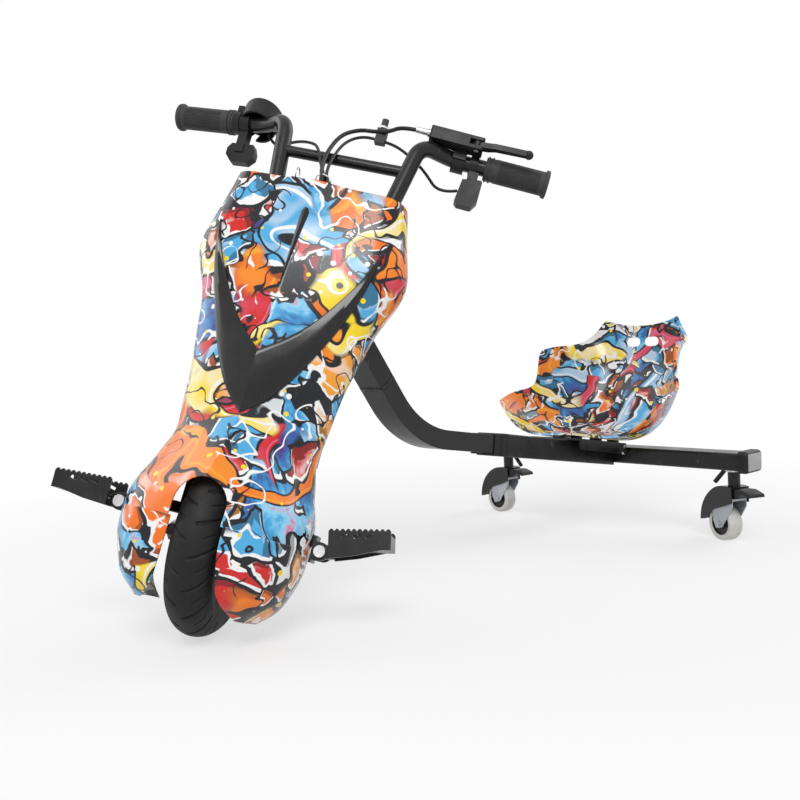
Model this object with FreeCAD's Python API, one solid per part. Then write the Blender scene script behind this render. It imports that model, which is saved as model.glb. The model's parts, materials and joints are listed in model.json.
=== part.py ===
"""Tricycle drift scooter: hub-motor front wheel, raked steering head, bent beam, bucket seat, rear casters.

Millimetres, +Z up, front of the scooter towards -Y, rider's left towards +X.
The steering assembly is drawn square in a steering frame: x across, y backwards, z up the steering axis,
with the origin on the wheel axle. It is then turned and raked into place by steered.
"""
import FreeCAD, Part
import math
import os

Vec = FreeCAD.Vector

# Steering geometry
RAKE = 22.75
STEER_TURN = 40.3

# Front wheel
TYRE_RADIUS = 100.0
TYRE_TUBE = 24.8
TYRE_STEPS = 20
RIM_RADIUS = 62.0
RIM_HALF_WIDTH = 20.0
HUB_WALL = 3.0
MAGNET_GAP = 1.2
HUB_COVER_REACH = 27.0
AXLE_RADIUS = 6.0
AXLE_HALF = 64.0
STATOR_RADIUS = 47.0
STATOR_HALF = 13.0
RUNNING_GAP = 0.05
BEARING_OUTER = 14.0
BEARING_WIDTH = 8.0
STATOR_TEETH = 12
COVER_SCREW_RING = 51.0
COVER_SCREW_HOLE = 3.2
WASHER_RADIUS = 12.0
WASHER_THICK = 2.0
AXLE_NUT_FLATS = 19.0
AXLE_NUT_HEIGHT = 9.0
TREAD_BLOCKS = 18
TREAD_GROOVE = 2.2
TREAD_DEPTH = 2.0

# Fork and steering head
LEG_INNER = 37.5
LEG_THICK = 7.0
LEG_WIDTH = 32.0
CROWN_LOW = 262.0
CROWN_THICK = 13.0
SHELF_LOW = 112.0
SHELF_THICK = 4.0
HEAD_LOW = 284.0
HEAD_LENGTH = 88.0
HEAD_OUTER = 19.0
HEAD_BORE = 16.5
CUP_OUTER = 22.0
CUP_HEIGHT = 5.0
STEERER_RADIUS = 13.0
STEERER_WALL = 2.5
CONE_DEPTH = 6.0
YOKE_LOW = 381.0
YOKE_THICK = 8.0
YOKE_FRONT = -20.0
YOKE_OVER = 16.0
LOCKNUT_HEIGHT = 10.0
LOCKNUT_FLATS = 36.0
FLAT_GAP = 0.3

# Battery and controller
BATTERY_SIDE_GAP = 1.0
BATTERY_FRONT = -34.0
BATTERY_BACK = 33.0
BATTERY_HEIGHT = 138.0
CONTROLLER_HALF = 28.0
CONTROLLER_UP = 12.0
CONTROLLER_HEIGHT = 95.0
CONTROLLER_THICK = 12.0
FIN_COUNT = 7
FIN_PITCH = 8.0
FIN_THICK = 2.4
FIN_REACH = 7.0

# Main beam and sleeve
BEAM_WIDTH = 40.0
BEAM_HEIGHT = 25.0
BEAM_WALL = 2.0
BEAM_BEND_RADIUS = 125.0
BEAM_BEND_Y = 277.5
BEAM_BEND_Z = 182.9
BEAM_FALL = 9.04
BEAM_RISE = 56.3
BEAM_TAIL = 190.0
SLEEVE_WALL = 3.0
SLEEVE_CLEAR = 0.3
SLEEVE_LENGTH = 252.0
SLEEVE_END_WALL = 14.0
BUSH_LIP = 12.0
BUSH_THICK = 3.0
BUSH_STEP = 14.0

# Rear crossbar and seat carrier
WHEELBASE = 712.0
CROSSBAR_HALF = 226.0
CROSSBAR_DEPTH = 40.0
CROSSBAR_HEIGHT = 25.0
CROSSBAR_LOW = 104.0
CROSSBAR_WALL = 2.0
CAP_THICK = 15.0
CAP_OVER = 3.0
CARRIER_HALF = 46.0
CARRIER_FRONT = 575.0
CARRIER_LIP = 16.0
PLATE = 3.0
CAP_SPIGOT = 5.0
CARRIER_BOLT_DROPS = [7.0, 13.5]
CARRIER_BOLT_BACK = 9.0
CARRIER_BOLT_HEAD = 4.2
CARRIER_BOLT_PROUD = 3.5

# Casters
CASTER_TRACK = 418.0
CASTER_TURN = {"left": 157.0, "right": 175.0}
CASTER_TRAIL = 20.0
CASTER_WHEEL = 25.0
CASTER_WIDTH = 21.0
CASTER_PLATE = 1.6
CASTER_SIDE_GAP = 0.8
CASTER_NECK = 8.5
STEM_RADIUS = 5.5
HOOD_WALL = 2.0
HOOD_POINTS = 15
HOOD_HALF = 15.6
HOOD_BACK = [(56, 26), (54, 42), (47, 57), (36, 69), (21, 78), (4, 81), (-12, 80)]
HOOD_SKIRT = [(-12, 58), (10, 50), (30, 44), (46, 28)]
FRAME_TOP = 63.0
SOCKET_FLANGE = 3.0
SOCKET_RADIUS = 12.0
STEM_IN = 20.0
WHEEL_PIN = 3.0
PEDAL_HALF = 12.4
THUMB_SCREW = 3.2
PEDAL_PIN = 2.0
PEDAL_HEIGHT = 72.0

# Bucket seat
SEAT_WALL = 3.5
SEAT_POINTS = 19
SEAT_ANGLES = [-102, -92, -80, -66, -52, -38, -26, -16, -8, 1]
SEAT_REACH = [(-102, 180.5), (-92, 182.5), (-80, 189), (-66, 195), (-52, 193), (-38, 186), (-26, 180),
              (-16, 173), (1, 166)]
SEAT_FLOOR = [(-102, 84), (-80, 74), (-66, 58), (-44, 46), (-16, 46), (1, 52)]
SEAT_HALF = [(-102, 149), (-86, 150), (-72, 138), (-57, 129), (-38, 126), (-27, 115), (-16, 100),
             (-8, 82), (1, 66)]
SEAT_RISE = [(-102, 50), (-92, 62), (-80, 72), (-66, 82), (-52, 110), (-38, 106), (-26, 80),
             (-16, 33), (-8, 16), (1, 4)]
SEAT_PIVOT_Y = 652.0
SEAT_PIVOT_Z = 330.0
SLOT_WIDTH = 27.0
SLOT_HEIGHT = 15.0
SLOT_LOW = 282.0
SLOT_CENTRE = 17.0
SEAT_DIP = 316.0
DIP_RADIUS = 200.0
SEAT_BOLT = 3.0
SEAT_BOLT_X = 34.0
SEAT_BOLT_Y = 22.0
SEAT_BOLT_HEAD = 6.5
SEAT_NUT_FLATS = 10.0
SEAT_NUT_HEIGHT = 6.0
SEAT_PAD_RADIUS = 9.0
SEAT_PAD = 4.0

# Fairing
SHELL_WALL = 2.6
SHELL_LOW = 12.0
SHELL_TOP = 411.0
SECTION_POINTS = 13
SHELL_STATIONS = [SHELL_LOW, 40, 62, 80, 100, 130, 165, 200, 230, 259, 290, 318, 350, 380, SHELL_TOP]
BODY_HALF = [(12, 97), (40, 96), (62, 89), (100, 80), (148, 83), (200, 90), (259, 100), (290, 112),
             (318, 121), (350, 116), (380, 108), (411, 101)]
BODY_RIDGE = [(12, 112), (40, 108), (62, 99), (100, 74), (130, 60), (200, 60), (276, 54), (345, 44),
              (411, 33)]
BODY_CORNER = [(12, 52), (40, 46), (62, 36), (100, 20), (148, 14), (411, 12)]
BODY_REAR = [(12, -12), (190, -12), (250, -32), (411, -36)]
ARCH_HALF = 27.0
ARCH_CENTRE = 28.0
ARM_WINDOW_GAP = 1.2
COVER_LOW = -72.0
COVER_POINTS = 11
COVER_STATIONS = [COVER_LOW, -60, -40, -12, SHELL_LOW]
COVER_SIDE = [(-72, 62), (-60, 76), (-40, 88), (-12, 96), (12, 97)]
COVER_INNER = [(-72, 50), (-60, 38), (-40, 31), (-12, 27.5), (12, 27)]
COVER_FRONT = [(-72, 44), (-60, 66), (-40, 80), (-12, 90), (12, 92)]
COVER_BACK = [(-72, -14), (-60, -24), (-40, -34), (-12, -40), (12, -42)]
TRIM_PROUD = 5.0
TRIM_SEAT = 0.05
V_UPPER = [(0, 199), (17, 214), (38, 236), (60, 268), (81, 307), (95, 345)]
V_LOWER = [(96, 343), (87, 295), (65, 231), (45, 187), (21, 150), (0, 130)]
NEEDLE = [(0, 276), (4.6, 368), (2.5, 372.5)]
LID_LOW = 402.0
LID_THICK = 3.0
LID_BACK_HALF = 88.0
LOCK_X = -30.0
LOCK_Y = -13.0
LOCK_RADIUS = 8.0
LOCK_PROUD = 6.0
LOCK_DEPTH = 12.0
KEY_HALF = 6.0
KEY_RING = 7.2
REAR_COVER_DEPTH = 62.0
REAR_COVER_HALF = 72.0
REAR_COVER_LOW = 104.0
REAR_COVER_TOP = 238.0
COVER_FRONT_EDGE = 12.5
COVER_SHOULDER = 40.0
COVER_CHAMFER = 12.0
TUB_BEHIND = 22.0
TUB_LOW = 342.0
TUB_HALF = 99.0
TUB_FRONT = 38.0
TUB_TAPER = 6.0
STANDOFF_RADIUS = 3.8
STANDOFF_PLACES = [(4.0, 84.0), (10.0, YOKE_LOW + YOKE_THICK / 2)]
BACK_STANDOFF = (13.0, 160.0)

# Handlebar
LEG_X = 66.0
LEG_SPLAY = 14.0
LEG_Y_LOW = 39.0
LEG_CLEAR = 0.8
BAR_RADIUS = 10.0
BAR_CORNER_Z = 523.0
BAR_RADII = [26.0, 60.0]
BEND_FROM = 106.0
GRIP_INNER_X = 126.0
GRIP_INNER_Y = 88.0
CROSS_RADIUS = 7.0
CROSS_HEIGHT = 480.0
CROSS_Y = 50.0
GRIP_RADIUS = 15.0
GRIP_END_X = 243.0
GRIP_END_Y = 102.0
GRIP_END_Z = 525.0
GRIP_LENGTH = 78.0
GRIP_FLANGE = 17.5
GRIP_END_CAP = 3.0
LEVER_AT = 104.0
LEVER_PIVOT_X = 10.0
LEVER_PIVOT_Y = -25.0
LEVER_REACH = 62.0
LEVER_LIFT = 15.0
LEVER_BOLT = 2.8
LEVER_HALF = 3.6
LEVER_HUB = 6.5
LEVER_BALL = 5.6
PERCH_LENGTH = 60.0
PERCH_HALF = 8.0
SWITCH_GAP = 11.5
SWITCH_BAND = 13.0
HORN_RADIUS = 5.0
HORN_Z = -32.0
HORN_CLEAR = 0.3
POD_AT = 74.0
POD_BAND_END = -4.3
HOOD_TOP_CENTRE = (-35.0, 9.0, 19.0)
HOOD_TILT = (0.0, 0.42, 0.9)
HOOD_HEIGHT = 25.0
HOOD_RADIUS = 27.0
HOOD_TAPER = 3.0
HOOD_SHELL = 2.5
LENS_RADIUS = 20.0
LENS_THICK = 2.0
LENS_PROUD = 0.4
PADDLE_COLLAR = 14.0

# Foot pegs
PEG_PIVOT_X = 111.0
PEG_PIVOT_Z = 15.0
PEG_PIVOT_Y = -8.0
PEG_START = 121.0
PEG_END = 185.0
PEG_DEPTH = 48.0
PEG_WALL = 3.0
PEG_TOP = 37.5
PEG_TILT = {"left": 13.0, "right": -3.5}
PEG_TEETH = 11
PEG_TOOTH = 2.4
PEG_BOLT = 4.0
PEG_FLOOR_DROP = 21.0
PEG_SLOT_PITCH = 12.5
PEG_SLOT_START = 17.0
PEG_SLOT_TILT = 18.0
TONGUE_HALF = 8.7
TONGUE_RADIUS = 7.0
EAR_IN = 9.0
EAR_THICK = 4.0
EAR_RADIUS = 9.5
ARM_LOW = 18.0
ARM_HIGH = 12.0
ARM_HALF = 9.0
WEB_OUT = 1.5
BRACKET_PLATE = 5.0

# Cables
CABLE_THICK = 2.6
CABLE_THIN = 1.9
CABLE_SIDES = 8
CABLE_ENTRY_X = 4.0
CABLE_ENTRY_Y = -8.0
GROMMET_RADIUS = 11.0
GROMMET_HEIGHT = 5.0
CLIP_BOX = (23.0, 36.0, 75.0, 85.0, 527.0, 547.0)
CLIP_PLUG_HEIGHT = 14.0
CLIP_PLUG_RADIUS = 4.4


def steer_placement():
    """Return the turn about the steering axis, then the rake, then the lift onto the floor."""
    turn = FreeCAD.Placement(Vec(0, 0, 0), FreeCAD.Rotation(Vec(0, 0, 1), STEER_TURN))
    rake = FreeCAD.Placement(Vec(0, 0, axle_height()), FreeCAD.Rotation(Vec(1, 0, 0), -RAKE))
    return rake.multiply(turn)


def axle_height():
    """Return the height at which the leaning tyre touches the floor."""
    lean = math.sin(math.radians(STEER_TURN)) * math.sin(math.radians(RAKE))
    return (TYRE_RADIUS - TYRE_TUBE) * math.sqrt(1 - lean ** 2) + TYRE_TUBE


def block(x0, x1, y0, y1, z0, z1):
    """Return a box between two corners."""
    return Part.makeBox(x1 - x0, y1 - y0, z1 - z0, Vec(x0, y0, z0))


def rod(start, end, radius):
    """Return a cylinder from start to end."""
    along = end.sub(start)
    return Part.makeCylinder(radius, along.Length, start, along)


def ring(start, end, outer, inner):
    """Return a tube from start to end."""
    return rod(start, end, outer).cut(rod(start, end, inner))


def along_x(x0, x1, radius, y=0.0, z=0.0):
    """Return a cylinder along x."""
    return rod(Vec(x0, y, z), Vec(x1, y, z), radius)


def along_y(y0, y1, radius, x, z):
    """Return a cylinder along y."""
    return rod(Vec(x, y0, z), Vec(x, y1, z), radius)


def along_z(z0, z1, radius, x=0.0, y=0.0):
    """Return a cylinder along z."""
    return rod(Vec(x, y, z0), Vec(x, y, z1), radius)


def straight(start, end):
    """Return a straight edge."""
    return Part.LineSegment(start, end).toShape()


def closed(points):
    """Return the closed wire through corner points."""
    return Part.makePolygon(points + points[:1])


def flat_face(points):
    """Return the flat face inside a closed run of corner points."""
    return Part.Face(closed(points))


def smooth_line(points, count):
    """Return evenly spread points on the smooth curve through a few points."""
    spline = Part.BSplineCurve()
    spline.interpolate(points)
    return spline.discretize(count)


def largest(shape):
    """Return the largest solid of a shape."""
    return max(shape.Solids, key=lambda piece: piece.Volume)


def lathe_x(outline):
    """Turn an (x, radius) outline about the x axis."""
    face = flat_face([Vec(x, 0, r) for x, r in outline])
    return face.revolve(Vec(0, 0, 0), Vec(1, 0, 0), 360)


def prism(outline, y0, y1):
    """Extrude an (x, z) outline from y0 to y1."""
    face = flat_face([Vec(x, y0, z) for x, z in outline])
    return face.extrude(Vec(0, y1 - y0, 0))


def side_prism(outline, x0, x1):
    """Extrude a (y, z) outline from x0 to x1."""
    face = flat_face([Vec(x0, y, z) for y, z in outline])
    return face.extrude(Vec(x1 - x0, 0, 0))


def level_prism(outline, z0, z1):
    """Extrude an (x, y) outline from z0 to z1."""
    face = flat_face([Vec(x, y, z0) for x, y in outline])
    return face.extrude(Vec(0, 0, z1 - z0))


def hexagon(centre, direction, flats, height):
    """Return a hexagonal prism that starts at centre and runs along direction."""
    radius = flats / math.sqrt(3)
    turn = FreeCAD.Rotation(Vec(0, 0, 1), direction)
    corners = []
    for step in range(6):
        angle = math.radians(60 * step)
        spoke = Vec(radius * math.cos(angle), radius * math.sin(angle), 0)
        corners.append(centre.add(turn.multVec(spoke)))
    unit = Vec(direction).normalize()
    return flat_face(corners).extrude(unit.multiply(height))


def round_path(points, radii):
    """Return straight runs joined by tangent arcs, one radius for each inner point."""
    edges = []
    last = points[0]
    for index in range(1, len(points) - 1):
        before = points[index - 1].sub(points[index]).normalize()
        after = points[index + 1].sub(points[index]).normalize()
        half = (math.pi - before.getAngle(after)) / 2
        reach = radii[index - 1] * math.tan(half)
        start = points[index].add(Vec(before).multiply(reach))
        end = points[index].add(Vec(after).multiply(reach))
        centre_line = before.add(after).normalize()
        depth = radii[index - 1] / math.cos(half) - radii[index - 1]
        middle = points[index].add(centre_line.multiply(depth))
        edges.append(straight(last, start))
        edges.append(Part.Arc(start, middle, end).toShape())
        last = end
    edges.append(straight(last, points[-1]))
    return Part.Wire(edges)


def gentle_radii(points):
    """Return the largest arc radius that the two runs at each inner point leave room for."""
    radii = []
    for index in range(1, len(points) - 1):
        before = points[index - 1].sub(points[index])
        after = points[index + 1].sub(points[index])
        half = (math.pi - before.getAngle(after)) / 2
        radii.append(0.45 * min(before.Length, after.Length) / math.tan(half))
    return radii


def pipe(points, radii, radius, sides=0):
    """Sweep a disc of the radius, or a polygon inside it, along a rounded path."""
    path = round_path(points, radii)
    start = points[1].sub(points[0])
    disc = Part.Wire(Part.makeCircle(radius, points[0], start))
    if sides:
        corners = disc.discretize(sides + 1)
        disc = closed(corners[:-1])
    return path.makePipeShell([disc], True, False)


def mirror_x(shape):
    """Return the shape mirrored across the centre plane."""
    return shape.mirror(Vec(0, 0, 0), Vec(1, 0, 0))


def both_sides(shape):
    """Return the shape and its mirror image as two solids."""
    return Part.makeCompound([shape, mirror_x(shape)])


def steered(shape):
    """Place a shape of the steering frame in the scooter's frame."""
    placed = shape.copy()
    placed.Placement = steer_placement().multiply(placed.Placement)
    return placed


def interpolate(table, z):
    """Return the value at height z from (height, value) pairs, straight between them."""
    pairs = sorted(table)
    if z <= pairs[0][0]:
        return pairs[0][1]
    for (low, first), (high, second) in zip(pairs, pairs[1:]):
        if z <= high:
            return first + (second - first) * (z - low) / (high - low)
    return pairs[-1][1]


# Front wheel

def tyre():
    """Return the solid tyre: a round crown on the rim, with a ring of curved chevron grooves."""
    ring_radius = TYRE_RADIUS - TYRE_TUBE
    foot = math.asin((RIM_RADIUS - ring_radius) / TYRE_TUBE)
    outline = []
    for step in range(TYRE_STEPS + 1):
        angle = foot + (math.pi - 2 * foot) * step / TYRE_STEPS
        outline.append((TYRE_TUBE * math.cos(angle), ring_radius + TYRE_TUBE * math.sin(angle)))
    cutters = []
    for index in range(TREAD_BLOCKS):
        for side in (-1, 1):
            turn = 360.0 * (index + 0.25 * side) / TREAD_BLOCKS
            cutters.append(tread_cutter(side, turn))
    return lathe_x(outline).cut(Part.makeCompound(cutters))


def tread_cutter(side, angle):
    """Return one slanted groove cutter on one shoulder of the tyre."""
    low = TYRE_RADIUS - TREAD_DEPTH
    bar = block(0, 17, -TREAD_GROOVE, TREAD_GROOVE, low - 3.2, TYRE_RADIUS + 2)
    bar.rotate(Vec(0, 0, low), Vec(0, 1, 0), 15)
    bar.translate(Vec(2.5, 0, 0))
    bar.rotate(Vec(0, 0, 0), Vec(0, 0, 1), 28)
    if side < 0:
        bar = mirror_x(bar)
    bar.rotate(Vec(0, 0, 0), Vec(1, 0, 0), angle)
    return bar


def hub_drum():
    """Return the motor drum that carries the tyre, with its ring of magnets inside."""
    inner = RIM_RADIUS - HUB_WALL
    drum = ring(Vec(-RIM_HALF_WIDTH, 0, 0), Vec(RIM_HALF_WIDTH, 0, 0), RIM_RADIUS, inner)
    magnets = ring(Vec(-STATOR_HALF, 0, 0), Vec(STATOR_HALF, 0, 0), inner, STATOR_RADIUS + MAGNET_GAP)
    return drum.fuse(magnets)


def hub_cover():
    """Return the right-hand motor cover with its stepped boss and bearing seat."""
    inner = RIM_HALF_WIDTH
    outline = [
        (inner, BEARING_OUTER), (inner, RIM_RADIUS), (inner + 2.5, RIM_RADIUS),
        (inner + 4.5, RIM_RADIUS - 7), (inner + 4.5, 34), (HUB_COVER_REACH, 30),
        (HUB_COVER_REACH + 1.5, 20), (HUB_COVER_REACH + 1.5, BEARING_OUTER),
    ]
    cover = lathe_x(outline)
    holes = []
    for step in range(6):
        angle = math.radians(60 * step)
        y = COVER_SCREW_RING * math.cos(angle)
        z = COVER_SCREW_RING * math.sin(angle)
        holes.append(along_x(inner + 2.8, inner + 9, COVER_SCREW_HOLE, y, z))
    return cover.cut(Part.makeCompound(holes))


def wheel_bearing():
    """Return the right-hand wheel bearing as one ring."""
    start = RIM_HALF_WIDTH + 0.5
    end = start + BEARING_WIDTH
    return ring(Vec(start, 0, 0), Vec(end, 0, 0), BEARING_OUTER, AXLE_RADIUS + RUNNING_GAP)


def motor_stator():
    """Return the wound stator: a laminated core with teeth, fixed on the axle."""
    core = ring(Vec(-STATOR_HALF, 0, 0), Vec(STATOR_HALF, 0, 0), STATOR_RADIUS, AXLE_RADIUS)
    slots = []
    for step in range(STATOR_TEETH):
        slot = block(-STATOR_HALF - 1, STATOR_HALF + 1, -3.5, 3.5, 20, STATOR_RADIUS - 4)
        slot.rotate(Vec(0, 0, 0), Vec(1, 0, 0), 360.0 * step / STATOR_TEETH)
        slots.append(slot)
    return core.cut(Part.makeCompound(slots))


# Fork, steering head and axle

def fork():
    """Return the fork: two flat legs, the crown above them and the battery shelf between them."""
    outer = LEG_INNER + LEG_THICK
    half = LEG_WIDTH / 2
    leg = block(LEG_INNER, outer, -half, half, 0, CROWN_LOW + CROWN_THICK)
    leg = leg.fuse(along_x(LEG_INNER, outer, half))
    leg = leg.cut(along_x(LEG_INNER - 1, outer + 1, AXLE_RADIUS))
    crown = block(-outer, outer, -half, half, CROWN_LOW, CROWN_LOW + CROWN_THICK)
    crown = crown.cut(along_z(CROWN_LOW - 1, CROWN_LOW + CROWN_THICK + 1, STEERER_RADIUS))
    shelf = block(-LEG_INNER, LEG_INNER, -half, half, SHELF_LOW, SHELF_LOW + SHELF_THICK)
    body = leg.fuse([mirror_x(leg), crown, shelf])
    return body.removeSplitter()


def steerer_tube():
    """Return the hollow steerer, from the crown through the head tube to the lock nut."""
    top = YOKE_LOW + YOKE_THICK + LOCKNUT_HEIGHT
    return ring(Vec(0, 0, CROWN_LOW), Vec(0, 0, top), STEERER_RADIUS, STEERER_RADIUS - STEERER_WALL)


def headset_cups():
    """Return the two bearing cups pressed on the ends of the head tube."""
    low = ring(Vec(0, 0, HEAD_LOW - CUP_HEIGHT), Vec(0, 0, HEAD_LOW), CUP_OUTER, HEAD_BORE)
    top = HEAD_LOW + HEAD_LENGTH
    high = ring(Vec(0, 0, top), Vec(0, 0, top + CUP_HEIGHT), CUP_OUTER, HEAD_BORE)
    return Part.makeCompound([low, high])


def headset_cones():
    """Return the two bearing cones on the steerer and the lock nut above the yoke."""
    inner = STEERER_RADIUS
    fit = HEAD_BORE - RUNNING_GAP
    flange_low = CROWN_LOW + CROWN_THICK
    flange_top = HEAD_LOW - CUP_HEIGHT - FLAT_GAP
    low = ring(Vec(0, 0, flange_low), Vec(0, 0, HEAD_LOW + CONE_DEPTH), fit, inner)
    low = low.fuse(ring(Vec(0, 0, flange_low), Vec(0, 0, flange_top), CUP_OUTER, inner))
    top = HEAD_LOW + HEAD_LENGTH
    high = ring(Vec(0, 0, top - CONE_DEPTH), Vec(0, 0, YOKE_LOW), fit, inner)
    high_flange = top + CUP_HEIGHT + FLAT_GAP
    high = high.fuse(ring(Vec(0, 0, high_flange), Vec(0, 0, YOKE_LOW), CUP_OUTER, inner))
    nut_low = YOKE_LOW + YOKE_THICK
    nut = hexagon(Vec(0, 0, nut_low), Vec(0, 0, 1), LOCKNUT_FLATS, LOCKNUT_HEIGHT)
    nut = nut.cut(along_z(nut_low - 1, nut_low + LOCKNUT_HEIGHT + 1, STEERER_RADIUS))
    return Part.makeCompound([low, high, nut])


def head_tube():
    """Return the head tube."""
    return ring(Vec(0, 0, HEAD_LOW), Vec(0, 0, HEAD_LOW + HEAD_LENGTH), HEAD_OUTER, HEAD_BORE)


def top_yoke():
    """Return the yoke plate that clamps the steerer and holds the two legs of the handlebar."""
    reach = LEG_X + YOKE_OVER
    back = LEG_Y_LOW + TUB_BEHIND - SHELL_WALL
    plate = block(-reach, reach, YOKE_FRONT, back, YOKE_LOW, YOKE_LOW + YOKE_THICK)
    for side in (-1, 1):
        plate = plate.cut(yoke_corner(side, reach))
    return plate.cut(along_z(YOKE_LOW - 1, YOKE_LOW + YOKE_THICK + 1, STEERER_RADIUS))


def yoke_corner(side, reach):
    """Return the wedge that tapers the front of the yoke towards the steerer."""
    front = YOKE_FRONT - 1
    outline = [(side * (reach + 1), front), (side * 24, front), (side * (reach + 1), 22)]
    return level_prism(outline, YOKE_LOW - 1, YOKE_LOW + YOKE_THICK + 1)


def front_axle():
    """Return the axle shaft."""
    return along_x(-AXLE_HALF, AXLE_HALF, AXLE_RADIUS)


def axle_nuts():
    """Return the two washers and two flanged nuts outside the fork legs."""
    start = LEG_INNER + LEG_THICK
    seat = start + WASHER_THICK
    washer = ring(Vec(start, 0, 0), Vec(seat, 0, 0), WASHER_RADIUS, AXLE_RADIUS)
    nut = hexagon(Vec(seat, 0, 0), Vec(1, 0, 0), AXLE_NUT_FLATS, AXLE_NUT_HEIGHT)
    nut = nut.cut(along_x(start, seat + AXLE_NUT_HEIGHT + 1, AXLE_RADIUS))
    return Part.makeCompound([washer, nut, mirror_x(washer), mirror_x(nut)])


# Battery and controller

def battery_pack():
    """Return the battery box between the fork legs, on its shelf."""
    low = SHELF_LOW + SHELF_THICK
    half = LEG_INNER - BATTERY_SIDE_GAP
    pack = block(-half, half, BATTERY_FRONT, BATTERY_BACK, low, low + BATTERY_HEIGHT)
    return pack.makeFillet(4, [e for e in pack.Edges if abs(e.tangentAt(e.FirstParameter).z) > 0.9])


def controller_box():
    """Return the finned controller on the back of the battery."""
    half = CONTROLLER_HALF
    low = SHELF_LOW + SHELF_THICK + CONTROLLER_UP
    face = BATTERY_BACK + CONTROLLER_THICK
    base = block(-half, half, BATTERY_BACK, face, low, low + CONTROLLER_HEIGHT)
    fins = []
    for index in range(FIN_COUNT):
        x = FIN_PITCH * (index - (FIN_COUNT - 1) / 2) - FIN_THICK / 2
        top = low + CONTROLLER_HEIGHT - 3
        fins.append(block(x, x + FIN_THICK, face - 1, face + FIN_REACH, low + 3, top))
    return base.fuse(fins).removeSplitter()


# Fairing

def half_section(z, offset):
    """Return the outer points of one half of the fairing at height z, from the ridge to the rear edge."""
    half = interpolate(BODY_HALF, z) - offset
    ridge = interpolate(BODY_RIDGE, z) - offset
    corner = interpolate(BODY_CORNER, z)
    rear = interpolate(BODY_REAR, z)
    shoulder = ridge - (ridge - corner) * 0.38
    return [(0.0, ridge), (half * 0.52, shoulder), (half * 0.93, corner + 4 - offset * 0.3),
            (half, corner - 12), (half * 0.97, rear)]


def side_points(z, offset):
    """Return points along the +x half of the fairing's section at height z, from the ridge to the rear."""
    return smooth_line([Vec(x, -n, z) for x, n in half_section(z, offset)], SECTION_POINTS)


def across(points):
    """Return the points of a +x half line together with their mirror images, from -x to +x."""
    left = [Vec(-p.x, p.y, p.z) for p in reversed(points)]
    return left[:-1] + points


def band_wire(z, wall):
    """Return the closed outline of the fairing's wall at height z."""
    outer = across(side_points(z, 0.0))
    inner = across(side_points(z, wall))
    inner.reverse()
    return closed(outer + inner)


def filled_wire(z, offset):
    """Return the closed outline of the fairing at height z, grown outwards by the offset."""
    return closed(across(side_points(z, -offset)))


def fairing_shell():
    """Return the upper fairing: a thin prow-shaped wall with the round top of the wheel arch cut out."""
    shell = Part.makeLoft([band_wire(z, SHELL_WALL) for z in SHELL_STATIONS], True, True)
    arch = rod(Vec(0, -140, ARCH_CENTRE), Vec(0, -20, ARCH_CENTRE), ARCH_HALF)
    slot = block(-ARCH_HALF, ARCH_HALF, -140, -20, SHELL_LOW - 1, ARCH_CENTRE)
    window = arm_block(ARM_WINDOW_GAP)
    return shell.cut([arch.fuse(slot), window, mirror_x(window)])


def arm_block(clearance):
    """Return the right-hand peg arm's bar, grown by a clearance."""
    x0 = LEG_INNER + LEG_THICK + BRACKET_PLATE
    x1 = PEG_PIVOT_X - TONGUE_RADIUS
    half = ARM_HALF + clearance
    top = ARM_LOW + ARM_HIGH + clearance
    return block(x0, x1, PEG_PIVOT_Y - half, PEG_PIVOT_Y + half, ARM_LOW - clearance, top)


def fairing_skin(low, high):
    """Return a layer over the fairing between two distances outside its surface."""
    stations = [z for z in SHELL_STATIONS if z >= 100]
    outside = Part.makeLoft([filled_wire(z, high) for z in stations], True, True)
    inside = Part.makeLoft([filled_wire(z, low) for z in stations], True, True)
    return outside.cut(inside)


def front_trim():
    """Return the raised V on the front and the needle above it."""
    layer = fairing_skin(TRIM_SEAT, TRIM_PROUD)
    right = V_UPPER + V_LOWER
    left = [(-x, z) for x, z in reversed(right)]
    vee = prism(right + left[1:-1], -90, 0)
    needle = prism(NEEDLE + [(-x, z) for x, z in reversed(NEEDLE[1:])], -90, 0)
    thin = fairing_skin(TRIM_SEAT, TRIM_PROUD * 0.6)
    return Part.makeCompound([layer.common(vee), thin.common(needle)])


def dash_lid():
    """Return the lid that closes the top of the fairing, with holes for the bar legs and the cables."""
    right = side_points(LID_LOW + LID_THICK, SHELL_WALL + FLAT_GAP)
    right.append(Vec(LID_BACK_HALF, LEG_Y_LOW + TUB_BEHIND, 0))
    lid = level_prism([(p.x, p.y) for p in across(right)], LID_LOW, LID_LOW + LID_THICK)
    for side in (-1, 1):
        lid = lid.cut(bar_leg_cutter(side))
    lid = lid.cut(grommet_plug())
    return lid.cut(along_z(LID_LOW - 1, LID_LOW + LID_THICK + 1, LOCK_RADIUS, LOCK_X, LOCK_Y))


def grommet_plug():
    """Return the filled form of the cable grommet in the lid."""
    return along_z(LID_LOW, LID_LOW + GROMMET_HEIGHT, GROMMET_RADIUS, CABLE_ENTRY_X, CABLE_ENTRY_Y)


def cable_holders(cables):
    """Return the grommet that grips the cables at the lid, and the clip with a plug between the bar legs."""
    x0, x1, y0, y1, z0, z1 = CLIP_BOX
    clip = block(x0, x1, y0, y1, z0, z1).cut(cables)
    plug = along_z(z1, z1 + CLIP_PLUG_HEIGHT, CLIP_PLUG_RADIUS, (x0 + x1) / 2, (y0 + y1) / 2)
    return Part.makeCompound([grommet_plug().cut(cables), clip.fuse(plug)])


def bar_leg_cutter(side):
    """Return the clearance cutter round one leg of the handlebar."""
    low, high = bar_leg_line(side)
    return rod(low, high, BAR_RADIUS + LEG_CLEAR)


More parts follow.
